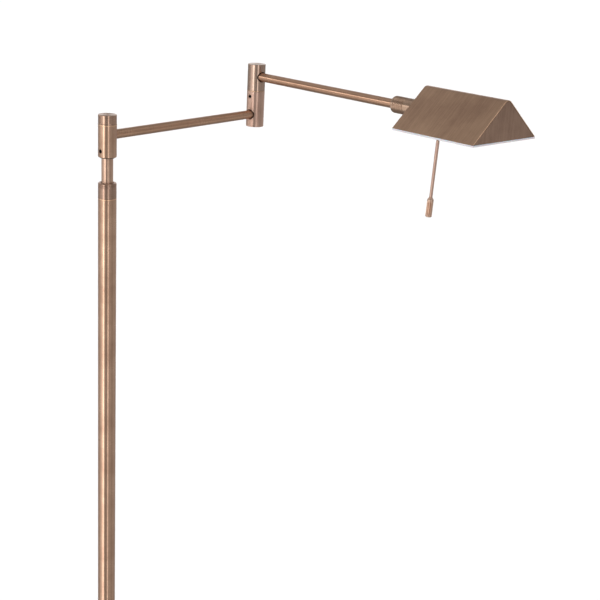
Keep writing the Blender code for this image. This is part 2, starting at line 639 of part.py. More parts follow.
# ---- dimmer shaft and wand ------------------------------------------------------------------
def make_dimmer_shaft(frame):
    """The frame is on the shaft's axis, level with the shade's; the fork's pin lies along Y."""
    outline = [
        (0.0, FORK_BOTTOM), (FORK_R - BEVEL, FORK_BOTTOM), (FORK_R, FORK_BOTTOM + BEVEL),
        (FORK_R, FORK_TOP), (DIMMER_SHAFT_R, FORK_TOP), (DIMMER_SHAFT_R, DIMMER_SHAFT_TOP),
        (0.0, DIMMER_SHAFT_TOP),
    ]
    shaft = turned("dimmer_shaft", outline, BRONZE, frame, sides=FINE_SIDES)
    wide = FORK_R + BEVEL
    low = (-wide, -FORK_SLOT / 2, FORK_BOTTOM - BEVEL)
    boolean(shaft, block("fork_slot", low, (wide, FORK_SLOT / 2, FORK_SLOT_TOP), None, frame))
    drill(shaft, PIN_R + GAP, -wide, wide, frame, "+Y", (0, 0, PIN_HEIGHT))
    half = PIN_LENGTH / 2
    turned("wand_pin", rod(PIN_R, -half, half), STEEL, frame, "+Y", (0, 0, PIN_HEIGHT), FINE_SIDES)


def make_wand(frame):
    """The frame is on the pin, and the wand hangs down its own -Z."""
    hanger = turned("wand_hanger", rod(WAND_R, HANGER_BOTTOM, HANGER_TOP), BRONZE, frame, sides=FINE_SIDES)
    half = EYE_THICKNESS / 2
    eye = turned("wand_eye", rod(EYE_R, -half, half), None, frame, "+Y", sides=FINE_SIDES)
    low = (-WAND_R + BEVEL / 2, -half, HANGER_TOP - BEVEL)
    tab = block("wand_tab", low, (WAND_R - BEVEL / 2, half, 0.0), None, frame)
    boolean(hanger, eye, "UNION")
    boolean(hanger, tab, "UNION")
    drill(hanger, PIN_R + GAP, -EYE_R, EYE_R, frame, "+Y")

    bore_floor = GRIP_TOP - GRIP_BORE_DEPTH
    rod_outline = rod(WAND_R - GAP / 3, bore_floor + GAP, HANGER_BOTTOM - GAP)
    turned("wand_rod", rod_outline, BRONZE, frame, sides=FINE_SIDES)
    bore_r = WAND_R + GAP
    outline = [
        (0.0, WAND_TIP), (GRIP_R - 2 * BEVEL, WAND_TIP), (GRIP_R, WAND_TIP + BEVEL),
        (GRIP_NECK_R, GRIP_TOP - GRIP_SHOULDER), (bore_r + GAP, GRIP_TOP), (bore_r, GRIP_TOP),
        (bore_r, bore_floor), (0.0, bore_floor),
    ]
    turned("wand_grip", outline, BRONZE, frame, sides=FINE_SIDES)


def main():
    clear_scene()
    make_base()
    make_pole_fixing()
    make_pole()
    make_collar()
    mast = joint_frame("mast_height", location=(0.0, 0.0, COLLAR_TOP))
    make_mast(mast)
    hub_place = (0.0, 0.0, ARM_HEIGHT - COLLAR_TOP)
    lower_arm = joint_frame("lower_arm_swing", mast, hub_place, LOWER_ARM_TURN)
    make_hub(lower_arm)
    make_lower_arm(lower_arm)
    elbow_place = (LOWER_ARM_LENGTH, 0.0, UPPER_ARM_RISE)
    upper_arm = joint_frame("elbow_swing", lower_arm, elbow_place, ELBOW_BEND)
    make_upper_arm(upper_arm)
    shade = joint_frame("shade_tilt", upper_arm, (SHADE_START, 0.0, 0.0))
    make_shade_shell(shade)
    make_shade_collar(shade)
    make_light(shade)
    make_dimmer_body(shade)
    dimmer = joint_frame("dimmer_turn", shade, (WAND_PLACE, 0.0, 0.0), DIMMER_REST_TURN)
    make_dimmer_shaft(dimmer)
    wand = joint_frame("wand_swing", dimmer, (0.0, 0.0, PIN_HEIGHT), lean=WAND_LEAN)
    make_wand(wand)
    bpy.context.view_layer.update()


main()
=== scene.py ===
import json
from math import atan2, cos, hypot, pi, radians, sin, tan, tau

import bmesh
import bpy
from mathutils import Matrix, Vector


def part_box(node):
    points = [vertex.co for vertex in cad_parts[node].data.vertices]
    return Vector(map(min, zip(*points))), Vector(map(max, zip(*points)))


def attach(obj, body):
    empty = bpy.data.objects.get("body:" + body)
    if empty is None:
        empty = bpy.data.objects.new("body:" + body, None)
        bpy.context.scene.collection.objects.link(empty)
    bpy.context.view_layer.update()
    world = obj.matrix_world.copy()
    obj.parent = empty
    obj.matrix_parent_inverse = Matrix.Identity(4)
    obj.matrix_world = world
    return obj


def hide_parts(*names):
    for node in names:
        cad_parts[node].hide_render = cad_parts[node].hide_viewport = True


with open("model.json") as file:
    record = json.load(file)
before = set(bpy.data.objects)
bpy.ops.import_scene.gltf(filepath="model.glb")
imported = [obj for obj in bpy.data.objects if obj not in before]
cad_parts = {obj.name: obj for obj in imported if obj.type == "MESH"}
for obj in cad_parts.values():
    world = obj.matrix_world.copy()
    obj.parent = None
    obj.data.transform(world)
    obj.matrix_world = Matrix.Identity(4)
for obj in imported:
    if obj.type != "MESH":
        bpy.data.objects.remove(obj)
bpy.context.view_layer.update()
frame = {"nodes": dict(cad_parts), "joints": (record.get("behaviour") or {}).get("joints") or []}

NODES = frame["nodes"]
JOINTS = {joint["name"]: joint for joint in frame["joints"]}
MM = 0.001
GAP = 0.3 * MM                                   # air left between pieces that touch
ALONG_X = Matrix.Rotation(pi / 2, 4, "Y")        # turns a piece's local Z onto local X
ALONG_MINUS_X = Matrix.Rotation(-pi / 2, 4, "Y")
ALONG_Y = Matrix.Rotation(-pi / 2, 4, "X")


# ---- camera ---------------------------------------------------------------------------------
CAMERA_PLACE = Vector((0.2678, -1.6804, 1.5697))
CAMERA_YAW = radians(0.0206)
CAMERA_PITCH = radians(17.693)                    # looks down this much
CAMERA_ROLL = radians(2.8876)
CAMERA_LENS = 76.51
SENSOR_WIDTH = 36.0


def make_camera():
    """Looks along +Y and down; the roll tips the picture a little to one side."""
    aim = Matrix.Rotation(CAMERA_YAW, 4, "Z") @ Matrix.Rotation(pi / 2 - CAMERA_PITCH, 4, "X")
    data = bpy.data.cameras.new("camera")
    data.lens = CAMERA_LENS
    data.sensor_width = SENSOR_WIDTH
    camera = bpy.data.objects.new("camera", data)
    bpy.context.scene.collection.objects.link(camera)
    camera.matrix_world = Matrix.Translation(CAMERA_PLACE) @ aim @ Matrix.Rotation(CAMERA_ROLL, 4, "Z")
    bpy.context.scene.camera = camera


# ---- frames of the joints -------------------------------------------------------------------
def frame_at(origin, along):
    """A frame with local X along a direction and local Y level."""
    x = Vector(along).normalized()
    y = Vector((0, 0, 1)).cross(x).normalized()
    z = x.cross(y)
    place = Matrix((x, y, z)).transposed().to_4x4()
    place.translation = Vector(origin)
    return place


def wand_frame():
    """Its origin is on the pin, and the middle of the grip is straight down its local -Z."""
    pin = Vector(JOINTS["wand_swing"]["pos_m"])
    low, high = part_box("wand_grip")
    up = (pin - (low + high) / 2).normalized()
    y = Vector(JOINTS["wand_swing"]["axis"])
    place = Matrix((y.cross(up).normalized(), y, up)).transposed().to_4x4()
    place.translation = pin
    return place


def span(node, place):
    """Lowest and highest corner of a CAD node in a local frame."""
    inverse = place.inverted()
    points = [inverse @ vertex.co for vertex in NODES[node].data.vertices]
    low = Vector([min(point[axis] for point in points) for axis in range(3)])
    high = Vector([max(point[axis] for point in points) for axis in range(3)])
    return low, high


def middle_height(node, place):
    low, high = span(node, place)
    return (low.z + high.z) / 2


HUB = Vector(JOINTS["lower_arm_swing"]["pos_m"])
ELBOW = Vector(JOINTS["elbow_swing"]["pos_m"])
LOWER_ARM_LINE = (ELBOW.x - HUB.x, ELBOW.y - HUB.y, 0)
UPPER_ARM_LINE = Vector(JOINTS["shade_tilt"]["axis"])
STAND = Matrix.Identity(4)
LOWER_ARM = frame_at(HUB, LOWER_ARM_LINE)
LOWER_ELBOW = frame_at((ELBOW.x, ELBOW.y, HUB.z), LOWER_ARM_LINE)
UPPER_ARM = frame_at(ELBOW, UPPER_ARM_LINE)
SHADE = frame_at(JOINTS["shade_tilt"]["pos_m"], UPPER_ARM_LINE)
DIMMER = frame_at(JOINTS["dimmer_turn"]["pos_m"], (1, 0, 0))
DIMMER_PLACE = SHADE.inverted() @ DIMMER.translation     # where the dimmer is along the shade
WAND = wand_frame()


# ---- node graphs ----------------------------------------------------------------------------
class Graph:
    """A material's or world's nodes. A value is a constant or another node's output."""

    def __init__(self, tree):
        self.tree = tree

    def fill(self, socket, value):
        if isinstance(value, bpy.types.NodeSocket):
            self.tree.links.new(value, socket)
        else:
            socket.default_value = value

    def node(self, kind, settings=None, **values):
        made = self.tree.nodes.new(kind)
        for name, value in (settings or {}).items():
            setattr(made, name, value)
        for name, value in values.items():
            self.fill(made.inputs[name.replace("_", " ")], value)
        return made

    def feed(self, node, name, value):
        self.fill(node.inputs[name], value)

    def math(self, operation, *values):
        made = self.node("ShaderNodeMath", {"operation": operation})
        for socket, value in zip(made.inputs, values):
            self.fill(socket, value)
        return made.outputs[0]

    def grade(self, value, low, high, to_low=0.0, to_high=1.0, smooth=False):
        """Map a range onto another one, with or without soft ends."""
        kind = {"interpolation_type": "SMOOTHSTEP" if smooth else "LINEAR"}
        made = self.node("ShaderNodeMapRange", kind, Value=value, From_Min=low, From_Max=high,
                         To_Min=to_low, To_Max=to_high)
        return made.outputs["Result"]

    def mix(self, factor, first, second):
        """Blend two colours. Only some of the node's sockets are for colours."""
        made = self.node("ShaderNodeMix", {"data_type": "RGBA"}, Factor=factor)
        sockets = [socket for socket in made.inputs if socket.type == "RGBA"]
        for socket, colour in zip(sockets, (first, second)):
            self.fill(socket, (*colour, 1.0))
        return next(socket for socket in made.outputs if socket.type == "RGBA")

    def grain(self, stretch, detail=3.0, roughness=0.6, offset=(0.0, 0.0, 0.0)):
        """Noise in the piece's own coordinates, with so many features per metre on each axis."""
        place = self.node("ShaderNodeTexCoord").outputs["Object"]
        mapped = self.node("ShaderNodeMapping", Vector=place, Scale=stretch, Location=offset)
        made = self.node("ShaderNodeTexNoise", Vector=mapped.outputs[0], Scale=1.0, Detail=detail,
                         Roughness=roughness)
        return made.outputs["Fac"]


# ---- materials ------------------------------------------------------------------------------
NOISE_LOW, NOISE_HIGH = 0.3, 0.7    # most of a noise's values lie between these
HAIR_HIGH = 0.72
PATINA_LOW, PATINA_HIGH, PATINA_MOST = 0.36, 0.68, 0.75
BAND_STRETCH = 0.22                 # the wide bands have this share of the hairs' features per metre
BAND_SHARE = 0.7                    # and this share of their strength
BAND_OFFSET = (3.0, 5.0, 7.0)
BRUSH_DEPTH = 0.05 * MM
ANISOTROPY = 0.9
QUARTER_TURN = 0.25                 # lays the highlight across the turning marks
HAIR_GLOSS = (-0.05, 0.06)          # what the hairs and the clouds add to the roughness
CLOUD_GLOSS = (-0.03, 0.05)
SKIN_GLOSS_DOWN, SKIN_GLOSS_UP = 0.06, 0.08
PALER, LIFTED = 1.25, 0.004         # a skin's pale clouds: so many times the colour, and a little more
PORE_STRENGTH = 0.35
SKIN_CLOUD = (45.0, 45.0, 45.0)


def new_material(name, metallic, **constants):
    """A material with its Principled shader, whose constant sockets are set directly."""
    made = bpy.data.materials.new(name)
    made.use_nodes = True
    shader = made.node_tree.nodes["Principled BSDF"]
    shader.inputs["Metallic"].default_value = metallic
    for socket, value in constants.items():
        shader.inputs[socket.replace("_", " ")].default_value = value
    return made, Graph(made.node_tree), shader


def brushed_metal(name, colour, shadow, stretch, roughness, scratch=0.08, lines=0.2, cloud_size=38.0):
    """Metal with fine brushing, clouds of patina and an uneven gloss."""
    made, graph, shader = new_material(name, 1.0)
    if stretch is TURNED:
        tangent = graph.node("ShaderNodeTangent", {"direction_type": "RADIAL", "axis": "Z"})
        graph.feed(shader, "Tangent", tangent.outputs[0])
        shader.inputs["Anisotropic"].default_value = ANISOTROPY
        shader.inputs["Anisotropic Rotation"].default_value = QUARTER_TURN
    fine = graph.grain(stretch, detail=4.0, roughness=0.7)
    coarse = graph.grain([value * BAND_STRETCH for value in stretch], detail=2.0, offset=BAND_OFFSET)
    cloud = graph.grain((cloud_size, cloud_size, cloud_size), detail=5.0, roughness=0.62)
    patina = graph.grade(cloud, PATINA_LOW, PATINA_HIGH, 0.0, PATINA_MOST)
    hairs = graph.grade(fine, NOISE_LOW, HAIR_HIGH, -lines, lines)
    bands = graph.grade(coarse, NOISE_LOW, NOISE_HIGH, -lines * BAND_SHARE, lines * BAND_SHARE)
    amount = graph.math("ADD", patina, graph.math("ADD", hairs, bands))
    clear = graph.node("ShaderNodeClamp", Value=amount).outputs[0]
    graph.feed(shader, "Base Color", graph.mix(clear, colour, shadow))
    hair_gloss = graph.grade(fine, NOISE_LOW, NOISE_HIGH, *HAIR_GLOSS)
    cloud_gloss = graph.grade(cloud, NOISE_LOW, NOISE_HIGH, *CLOUD_GLOSS)
    uneven = graph.math("ADD", hair_gloss, cloud_gloss)
    graph.feed(shader, "Roughness", graph.math("ADD", uneven, roughness))
    bump = graph.node("ShaderNodeBump", Strength=scratch, Distance=BRUSH_DEPTH, Height=fine)
    graph.feed(shader, "Normal", bump.outputs[0])
    return made


def moulded(name, colour, roughness, pores, depth, **constants):
    """Plastic, rubber, felt or cast skin with so many fine pores per metre."""
    made, graph, shader = new_material(name, 0.0, **constants)
    skin = graph.grain((pores, pores, pores), detail=3.0)
    cloud = graph.grade(graph.grain(SKIN_CLOUD, detail=4.0), NOISE_LOW, NOISE_HIGH)
    lighter = [min(1.0, value * PALER + LIFTED) for value in colour]
    graph.feed(shader, "Base Color", graph.mix(cloud, colour, lighter))
    gloss = graph.grade(skin, NOISE_LOW, NOISE_HIGH, roughness - SKIN_GLOSS_DOWN, roughness + SKIN_GLOSS_UP)
    graph.feed(shader, "Roughness", gloss)
    bump = graph.node("ShaderNodeBump", Strength=PORE_STRENGTH, Distance=depth, Height=skin)
    graph.feed(shader, "Normal", bump.outputs[0])
    return made


# features per metre on each axis
TURNED = (70.0, 70.0, 5200.0)       # rings around local Z
SLOPE = (4200.0, 45.0, 45.0)        # lines down the shade's slopes
END = (900.0, 4200.0, 45.0)         # lines down the shade's end panels

# colour, colour of the patina, brushing, roughness, and what differs from the usual finish
METALS = {
    "bronze": ((0.60, 0.388, 0.272), (0.49, 0.302, 0.208), TURNED, 0.31, {}),
    "bronze_pale": ((0.70, 0.475, 0.355), (0.58, 0.375, 0.27), TURNED, 0.36, {}),
    "bronze_arm": ((0.60, 0.365, 0.245), (0.50, 0.29, 0.19), TURNED, 0.29,
                   {"scratch": 0.015, "lines": 0.05}),
    # painted shade: the bore finish is a dark copy of the bronze, given to the faces of holes, counterbores
    # and slots for the shade inside them
    "bore": ((0.24, 0.155, 0.12), (0.14, 0.09, 0.07), TURNED, 0.45, {}),
    "bronze_dark": ((0.48, 0.315, 0.235), (0.38, 0.24, 0.175), TURNED, 0.33, {"lines": 0.5}),
    "bronze_ribbed": ((0.58, 0.40, 0.29), (0.42, 0.28, 0.20), TURNED, 0.40, {"lines": 0.5}),
    "bronze_rosy": ((0.74, 0.50, 0.395), (0.62, 0.405, 0.315), TURNED, 0.46, {}),
    "bronze_wand": ((0.78, 0.54, 0.41), (0.64, 0.43, 0.32), TURNED, 0.34, {"scratch": 0.04}),
    "bronze_cap": ((0.47, 0.305, 0.225), (0.36, 0.23, 0.165), TURNED, 0.24, {"lines": 0.3}),
    "bronze_polished": ((0.50, 0.35, 0.275), (0.43, 0.295, 0.225), TURNED, 0.18,
                        {"scratch": 0.03, "lines": 0.1}),
    "bronze_slope": ((0.60, 0.386, 0.258), (0.40, 0.243, 0.166), SLOPE, 0.34,
                     {"lines": 0.40, "cloud_size": 15.0}),
    # painted shade: the end panels are the slopes' sheet in a darker copy, for the ends that face away from
    # the light
    "bronze_end_painted_shade": ((0.43, 0.277, 0.200), (0.28, 0.171, 0.122), END, 0.34,
                   {"lines": 0.45, "cloud_size": 15.0}),
    # painted highlight: a near-white bronze for thin bright lines, on the bands below seams, on the elbow's
    # thrust ring and on the shade sheet's cut edges, where it is also the bare metal of the cut
    "bronze_edge_painted_highlight": ((0.98, 0.64, 0.40), (0.84, 0.52, 0.32), SLOPE, 0.30, {}),
    "steel": ((0.60, 0.60, 0.61), (0.42, 0.42, 0.42), TURNED, 0.28, {}),
    "black_oxide": ((0.06, 0.06, 0.065), (0.03, 0.03, 0.03), TURNED, 0.38, {}),
    "aluminium": ((0.80, 0.81, 0.82), (0.66, 0.66, 0.67), END, 0.34, {}),
}

# colour, roughness, pores per metre, their depth, and constants of the shader
SKINS = {
    "cast_iron": ((0.045, 0.044, 0.043), 0.62, 900.0, 0.25 * MM, {}),
    "black_plastic": ((0.018, 0.018, 0.019), 0.42, 3500.0, 0.02 * MM, {}),
    "rubber": ((0.014, 0.014, 0.014), 0.66, 2400.0, 0.03 * MM, {}),
    "felt": ((0.020, 0.021, 0.024), 0.92, 1500.0, 0.30 * MM, {"Sheen_Weight": 0.5}),
    "opal": ((0.55, 0.54, 0.57), 0.34, 1800.0, 0.01 * MM,
             {"Subsurface_Weight": 0.25, "Subsurface_Scale": 0.004}),
    "board": ((0.80, 0.80, 0.78), 0.30, 2500.0, 0.01 * MM, {}),
}


def make_materials():
    made = {}
    for name, (*settings, extras) in METALS.items():
        made[name] = brushed_metal(name, *settings, **extras)
    for name, (*settings, extras) in SKINS.items():
        made[name] = moulded(name, *settings, **extras)
    return made


MATERIALS = make_materials()


# ---- meshes ---------------------------------------------------------------------------------
FILLET_STEPS = 4
FILLET_SHARE = 0.48                 # a fillet takes at most this much of each side
ON_AXIS = 1e-9                      # a smaller radius is a point on the axis
CUTTER_SIDES = 64
PIECE_SIDES = 96
BARREL_SIDES = 160
SMOOTH_ANGLE = 40.0
BEVEL_ANGLE = 35.0
BEVEL_SEGMENTS = 3
# The inside slot holds a painted shade (the dark bore finish) or a painted highlight (the bright edge
# finish).
INSIDE = 1                          # material slot of drilled holes and cut edges

# fillets and chamfers of the turned pieces
HAIR = 0.05 * MM
FINE = 0.1 * MM
SMALL = 0.2 * MM
SOFT = 0.3 * MM
ROUND = 0.5 * MM


def filleted(outline, closed):
    """Round an outline's corners. Its points are (radius, height, fillet)."""
    count = len(outline)
    path = []
    for index, (radius, height, fillet) in enumerate(outline):
        corner = Vector((radius, height))
        if fillet == 0.0 or (not closed and index in (0, count - 1)):
            path.append(corner)
            continue
        before = Vector(outline[index - 1][:2]) - corner
        after = Vector(outline[(index + 1) % count][:2]) - corner
        opening = before.angle(after)
        reach = min(fillet / tan(opening / 2), before.length * FILLET_SHARE, after.length * FILLET_SHARE)
        start = corner + before.normalized() * reach
        end = corner + after.normalized() * reach
        for step in range(FILLET_STEPS + 1):
            t = step / FILLET_STEPS
            path.append(start * (1 - t) ** 2 + corner * 2 * t * (1 - t) + end * t * t)
    return path


def lathe_mesh(outline, sides, shape=None):
    """Turn an outline about Z. shape(angle, height) scales the radius, for flutes."""
    closed = outline[0][0] > 0.0 or outline[-1][0] > 0.0
    bm = bmesh.new()
    rings = []
    for radius, height in filleted(outline, closed):
        if radius < ON_AXIS:
            rings.append([bm.verts.new((0, 0, height))])
            continue
        ring = []
        for side in range(sides):
            angle = tau * side / sides
            reach = radius * (shape(angle, height) if shape else 1.0)
            ring.append(bm.verts.new((reach * cos(angle), reach * sin(angle), height)))
        rings.append(ring)
    pairs = list(zip(rings, rings[1:]))
    if closed:
        pairs.append((rings[-1], rings[0]))
    for low, high in pairs:
        for side in range(sides):
            following = (side + 1) % sides
            corners = [low[side % len(low)], low[following % len(low)],
                       high[following % len(high)], high[side % len(high)]]
            kept = [corner for index, corner in enumerate(corners) if corner not in corners[:index]]
            bm.faces.new(kept)
    bmesh.ops.recalc_face_normals(bm, faces=bm.faces)
    return bm


def new_object(name, bm, place, finishes=()):
    """Put a mesh in the scene, with its materials in order."""
    mesh = bpy.data.meshes.new(name)
    bm.to_mesh(mesh)
    bm.free()
    for finish in finishes:
        mesh.materials.append(MATERIALS[finish])
    made = bpy.data.objects.new(name, mesh)
    bpy.context.scene.collection.objects.link(made)
    made.matrix_world = place
    return made


def add_piece(name, bm, place, body, material, replaces=(), smooth=SMOOTH_ANGLE,
              bevel=0.0, inside="bore"):
    """Finish a mesh as a named piece that rides on a body and stands for CAD nodes."""
    # The cut faces take the inside finish: by default the dark bore finish, a painted shade in the holes.
    finishes = [material]
    if any(face.material_index == INSIDE for face in bm.faces):
        finishes.append(inside)
    piece = new_object(name, bm, place, finishes)
    if bevel:
        edge = piece.modifiers.new("bevel", "BEVEL")
        edge.width = bevel
        edge.segments = BEVEL_SEGMENTS
        edge.limit_method = "ANGLE"
        edge.angle_limit = radians(BEVEL_ANGLE)
        edge.harden_normals = True
    piece.data.shade_smooth()
    piece.data.set_sharp_from_angle(angle=radians(smooth))
    if not bevel:
        normals = piece.modifiers.new("normals", "WEIGHTED_NORMAL")
        normals.keep_sharp = True
    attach(piece, body)
    if replaces:
        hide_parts(*replaces)


def turned(name, outline, place, body, material, replaces=(), sides=PIECE_SIDES):
    add_piece(name, lathe_mesh(outline, sides), place, body, material, replaces)


def cutter(outline, place, sides=CUTTER_SIDES):
    """A hidden turned body for cutting holes."""
    bm = lathe_mesh(outline, sides)
    for face in bm.faces:
        face.material_index = INSIDE
    return new_object("cutter", bm, place)


def rod_cutter(radius, start, end, place, sides=CUTTER_SIDES):
    """A plain round cutter from start to end along local Z."""
    return cutter([(0, start, 0), (radius, start, 0), (radius, end, 0), (0, end, 0)], place, sides)


def with_holes(bm, place, cutters):
    """Cut holes out of a mesh. The blank needs both materials for the cut faces to keep their slot."""
    blank = new_object("blank", bm, place, ("bronze", "bore"))
    for body in cutters:
        step = blank.modifiers.new("hole", "BOOLEAN")
        step.operation = "DIFFERENCE"
        step.solver = "EXACT"
        step.object = body
    bpy.context.view_layer.update()
    result = bmesh.new()
    result.from_object(blank, bpy.context.evaluated_depsgraph_get())
    for body in [blank, *cutters]:
        bpy.data.objects.remove(body, do_unlink=True)
    return result


def turning_marks(inner, outer, height, count, depth):
    """Shallow rings on a turned face, from the outside in."""
    points = []
    pitch = (outer - inner) / count
    half = pitch * 0.2
    for index in range(count):
        radius = outer - pitch * (index + 0.5)
        points += [(radius + half, height, 0), (radius, height - depth, 0), (radius - half, height, 0)]
    return points


def painted_highlight_lip(name, radius, seam, place, body):
    """A thin band of painted highlight on the edge just below a seam."""
    outer, inner = radius + 0.03 * MM, radius - 1.0 * MM
    low, high = seam - 0.75 * MM, seam - 0.02 * MM
    outline = [(inner, low, 0), (outer, low, 0.03 * MM), (outer, high, FINE), (inner, high, 0)]
    turned(name, outline, place, body, "bronze_edge_painted_highlight", sides=BARREL_SIDES)


# ---- base -----------------------------------------------------------------------------------
BASE_SIDES = 192
COVER_SKIN = 1.5 * MM
COVER_RIM = 0.8 * MM                # height of the rolled rim
COVER_SHOULDER = 8 * MM             # fillet of the outer edge
COVER_FALL = 2.3 * MM               # the outer edge lies this far below the middle
LANDING_R = 30 * MM                 # flat middle, which the pole stands on
LANDING_EDGE = 6 * MM
LANDING_STEP = 0.25 * MM
GROMMET_HOLE_R = 4.5 * MM
GROMMET_NECK_R = 4.2 * MM
GROMMET_NOSE_R = 3.6 * MM
GROMMET_BORE_R = 2.7 * MM
GROMMET_FLANGE = 1.4 * MM
THREAD_HOLE_R = 5.3 * MM
FOOT_NECK_R = 14.3 * MM
FOOT_SOCKET_R = 12.8 * MM
FOOT_RIM = 1.3 * MM
FOOT_RELIEF = 0.4 * MM              # depth of the groove under the foot's crown


def grommet_place():
    """The grommet's axis is level and leaves the base at the back."""
    low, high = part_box("cable_grommet")
    return Matrix.Translation((0, 0, (low.z + high.z) / 2)) @ ALONG_Y


def make_base_cover():
    low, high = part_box("base_cover")
    radius, top, rim = high.x, high.z, low.z
    nipple_low, nipple_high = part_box("base_nipple")
    bore = (nipple_high.x - nipple_low.x) / 2 + GAP
    edge_top = top - COVER_FALL
    outline = [
        (radius - COVER_SKIN, rim, SOFT), (radius - SMALL, rim, 0.4 * MM),
        (radius, rim + COVER_RIM, 0.4 * MM), (radius, edge_top, COVER_SHOULDER),
        (LANDING_R + LANDING_EDGE, top - LANDING_STEP, 5 * MM), (LANDING_R, top, 3 * MM),
        (bore, top, 0), (bore, top - COVER_SKIN, 0), (LANDING_R, top - COVER_SKIN, 3 * MM),
        (radius - COVER_SKIN, edge_top - COVER_SKIN, COVER_SHOULDER - COVER_SKIN),
    ]
    hole = rod_cutter(GROMMET_HOLE_R, radius - 5 * MM, radius + 2 * MM, grommet_place(), 32)
    cover = with_holes(lathe_mesh(outline, BASE_SIDES), STAND, [hole])
    add_piece("base_cover_spun", cover, STAND, "stand", "bronze", ["base_cover"])


def make_grommet():
    low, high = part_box("cable_grommet")
    inner, outer = low.y, high.y
    flange = (high.x - low.x) / 2
    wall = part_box("base_cover")[1].x + LANDING_STEP
    outline = [
        (GROMMET_BORE_R, inner, 0.4 * MM), (flange - SOFT, inner, ROUND),
        (flange, inner + GROMMET_FLANGE, SMALL), (GROMMET_NECK_R, inner + GROMMET_FLANGE + FINE, FINE),
        (GROMMET_NECK_R, wall, FINE), (flange, wall, SMALL), (flange - 0.6 * MM, outer - 0.4 * MM, 0.6 * MM),
        (GROMMET_NOSE_R, outer, ROUND), (GROMMET_BORE_R, outer - 0.6 * MM, 0.4 * MM),
    ]
    turned("cable_grommet_moulded", outline, grommet_place(), "stand", "rubber", ["cable_grommet"],
           48)


def make_foot():
    low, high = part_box("pole_foot")
    radius, bottom, crown = high.x, low.z, high.z
    neck, rim = FOOT_NECK_R, radius - FOOT_RIM
    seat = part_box("outer_pole")[0].z - GAP
    outline = [
        (THREAD_HOLE_R, bottom, 0), (radius - SMALL, bottom, SMALL), (radius, bottom + SOFT, SOFT),
        (radius, bottom + 2.2 * MM, 0.8 * MM), (rim, bottom + 3.0 * MM, SOFT),
        (rim, bottom + 3.5 * MM, SOFT), (neck + FOOT_RELIEF, bottom + 5 * MM, 4.5 * MM),
        (neck, crown - 4.5 * MM, 0.6 * MM), (neck - FOOT_RELIEF, crown - 4.2 * MM, SMALL),
        (neck - FOOT_RELIEF, crown - 3.6 * MM, SMALL), (neck, crown - 3.3 * MM, SOFT),
        (neck, crown, 0.9 * MM), (FOOT_SOCKET_R, crown, SOFT), (FOOT_SOCKET_R, seat, 0),
        (THREAD_HOLE_R, seat, 0),
    ]
    turned("pole_foot_turned", outline, STAND, "stand", "bronze_dark", ["pole_foot"])


# ---- pole and mast --------------------------------------------------------------------------
POLE_WALL = 1.2 * MM
THIN_WALL = 1.0 * MM                # of the thin tube and the arms
PIVOT_HOLE_R = 5.3 * MM             # what a pivot or the shade's neck passes through
COLLAR_MOUTH_R = 8.9 * MM
COLLAR_BUSH_R = 9.6 * MM
COLLAR_BUSH_DEPTH = 5.5 * MM
COLLAR_SPIGOT = 1.5 * MM            # the spigot is this much smaller than the pole
COLLAR_CHAMFER = 0.9 * MM
COLLAR_RINGS = 4
COLLAR_FIRST_RING = 5.6 * MM        # below the collar's top
COLLAR_RING_PITCH = 1.1 * MM
COLLAR_RING_HALF = 0.28 * MM
COLLAR_RING_DEPTH = 0.22 * MM


def make_pole():
    low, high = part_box("outer_pole")
    radius, bore = high.x, high.x - POLE_WALL
    outline = [(bore, low.z, 0), (radius, low.z, SOFT), (radius, high.z - 0.7 * MM, FINE),
               (radius - ROUND, high.z, FINE), (bore, high.z, 0)]
    turned("outer_pole_tube", outline, STAND, "stand", "bronze", ["outer_pole"])


def make_pole_collar():
    pole_low, pole_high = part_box("outer_pole")
    low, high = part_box("pole_collar")
    radius, seam, top = pole_high.x, pole_high.z + FINE, high.z
    spigot = radius - COLLAR_SPIGOT
    outline = [
        (COLLAR_BUSH_R, low.z, SMALL), (spigot, low.z, SOFT), (spigot, seam, 0),
        (radius - FINE, seam, HAIR), (radius, seam + FINE, HAIR),
    ]
    for ring in range(COLLAR_RINGS):
        height = top - COLLAR_FIRST_RING + COLLAR_RING_PITCH * ring
        outline += [
            (radius, height - COLLAR_RING_HALF, HAIR), (radius - COLLAR_RING_DEPTH, height, 0.08 * MM),
            (radius, height + COLLAR_RING_HALF, HAIR),
        ]
    outline += [
        (radius, top - COLLAR_CHAMFER, 0.25 * MM), (radius - COLLAR_CHAMFER, top, 0.25 * MM),
        (COLLAR_MOUTH_R, top, SOFT), (COLLAR_MOUTH_R - FINE, top - COLLAR_BUSH_DEPTH, 0),
        (COLLAR_BUSH_R, top - COLLAR_BUSH_DEPTH, 0),
    ]
    turned("pole_collar_turned", outline, STAND, "stand", "bronze_dark", ["pole_collar"])
    painted_highlight_lip("pole_painted_highlight", radius, pole_high.z, STAND, "stand")


def make_mast():
    low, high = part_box("inner_tube")
    radius, bore = high.x, high.x - THIN_WALL
    outline = [(bore, low.z, 0), (radius, low.z, SMALL), (radius, high.z, SMALL), (bore, high.z, 0)]
    turned("inner_tube_drawn", outline, STAND, "mast", "bronze_pale", ["inner_tube"])
    low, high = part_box("hub_thrust_washer")
    outline = [(PIVOT_HOLE_R, low.z, 0), (high.x, low.z, 0.25 * MM), (high.x, high.z, 0.25 * MM),
               (PIVOT_HOLE_R, high.z, 0)]
    turned("hub_thrust_ring", outline, STAND, "mast", "black_plastic", ["hub_thrust_washer"])


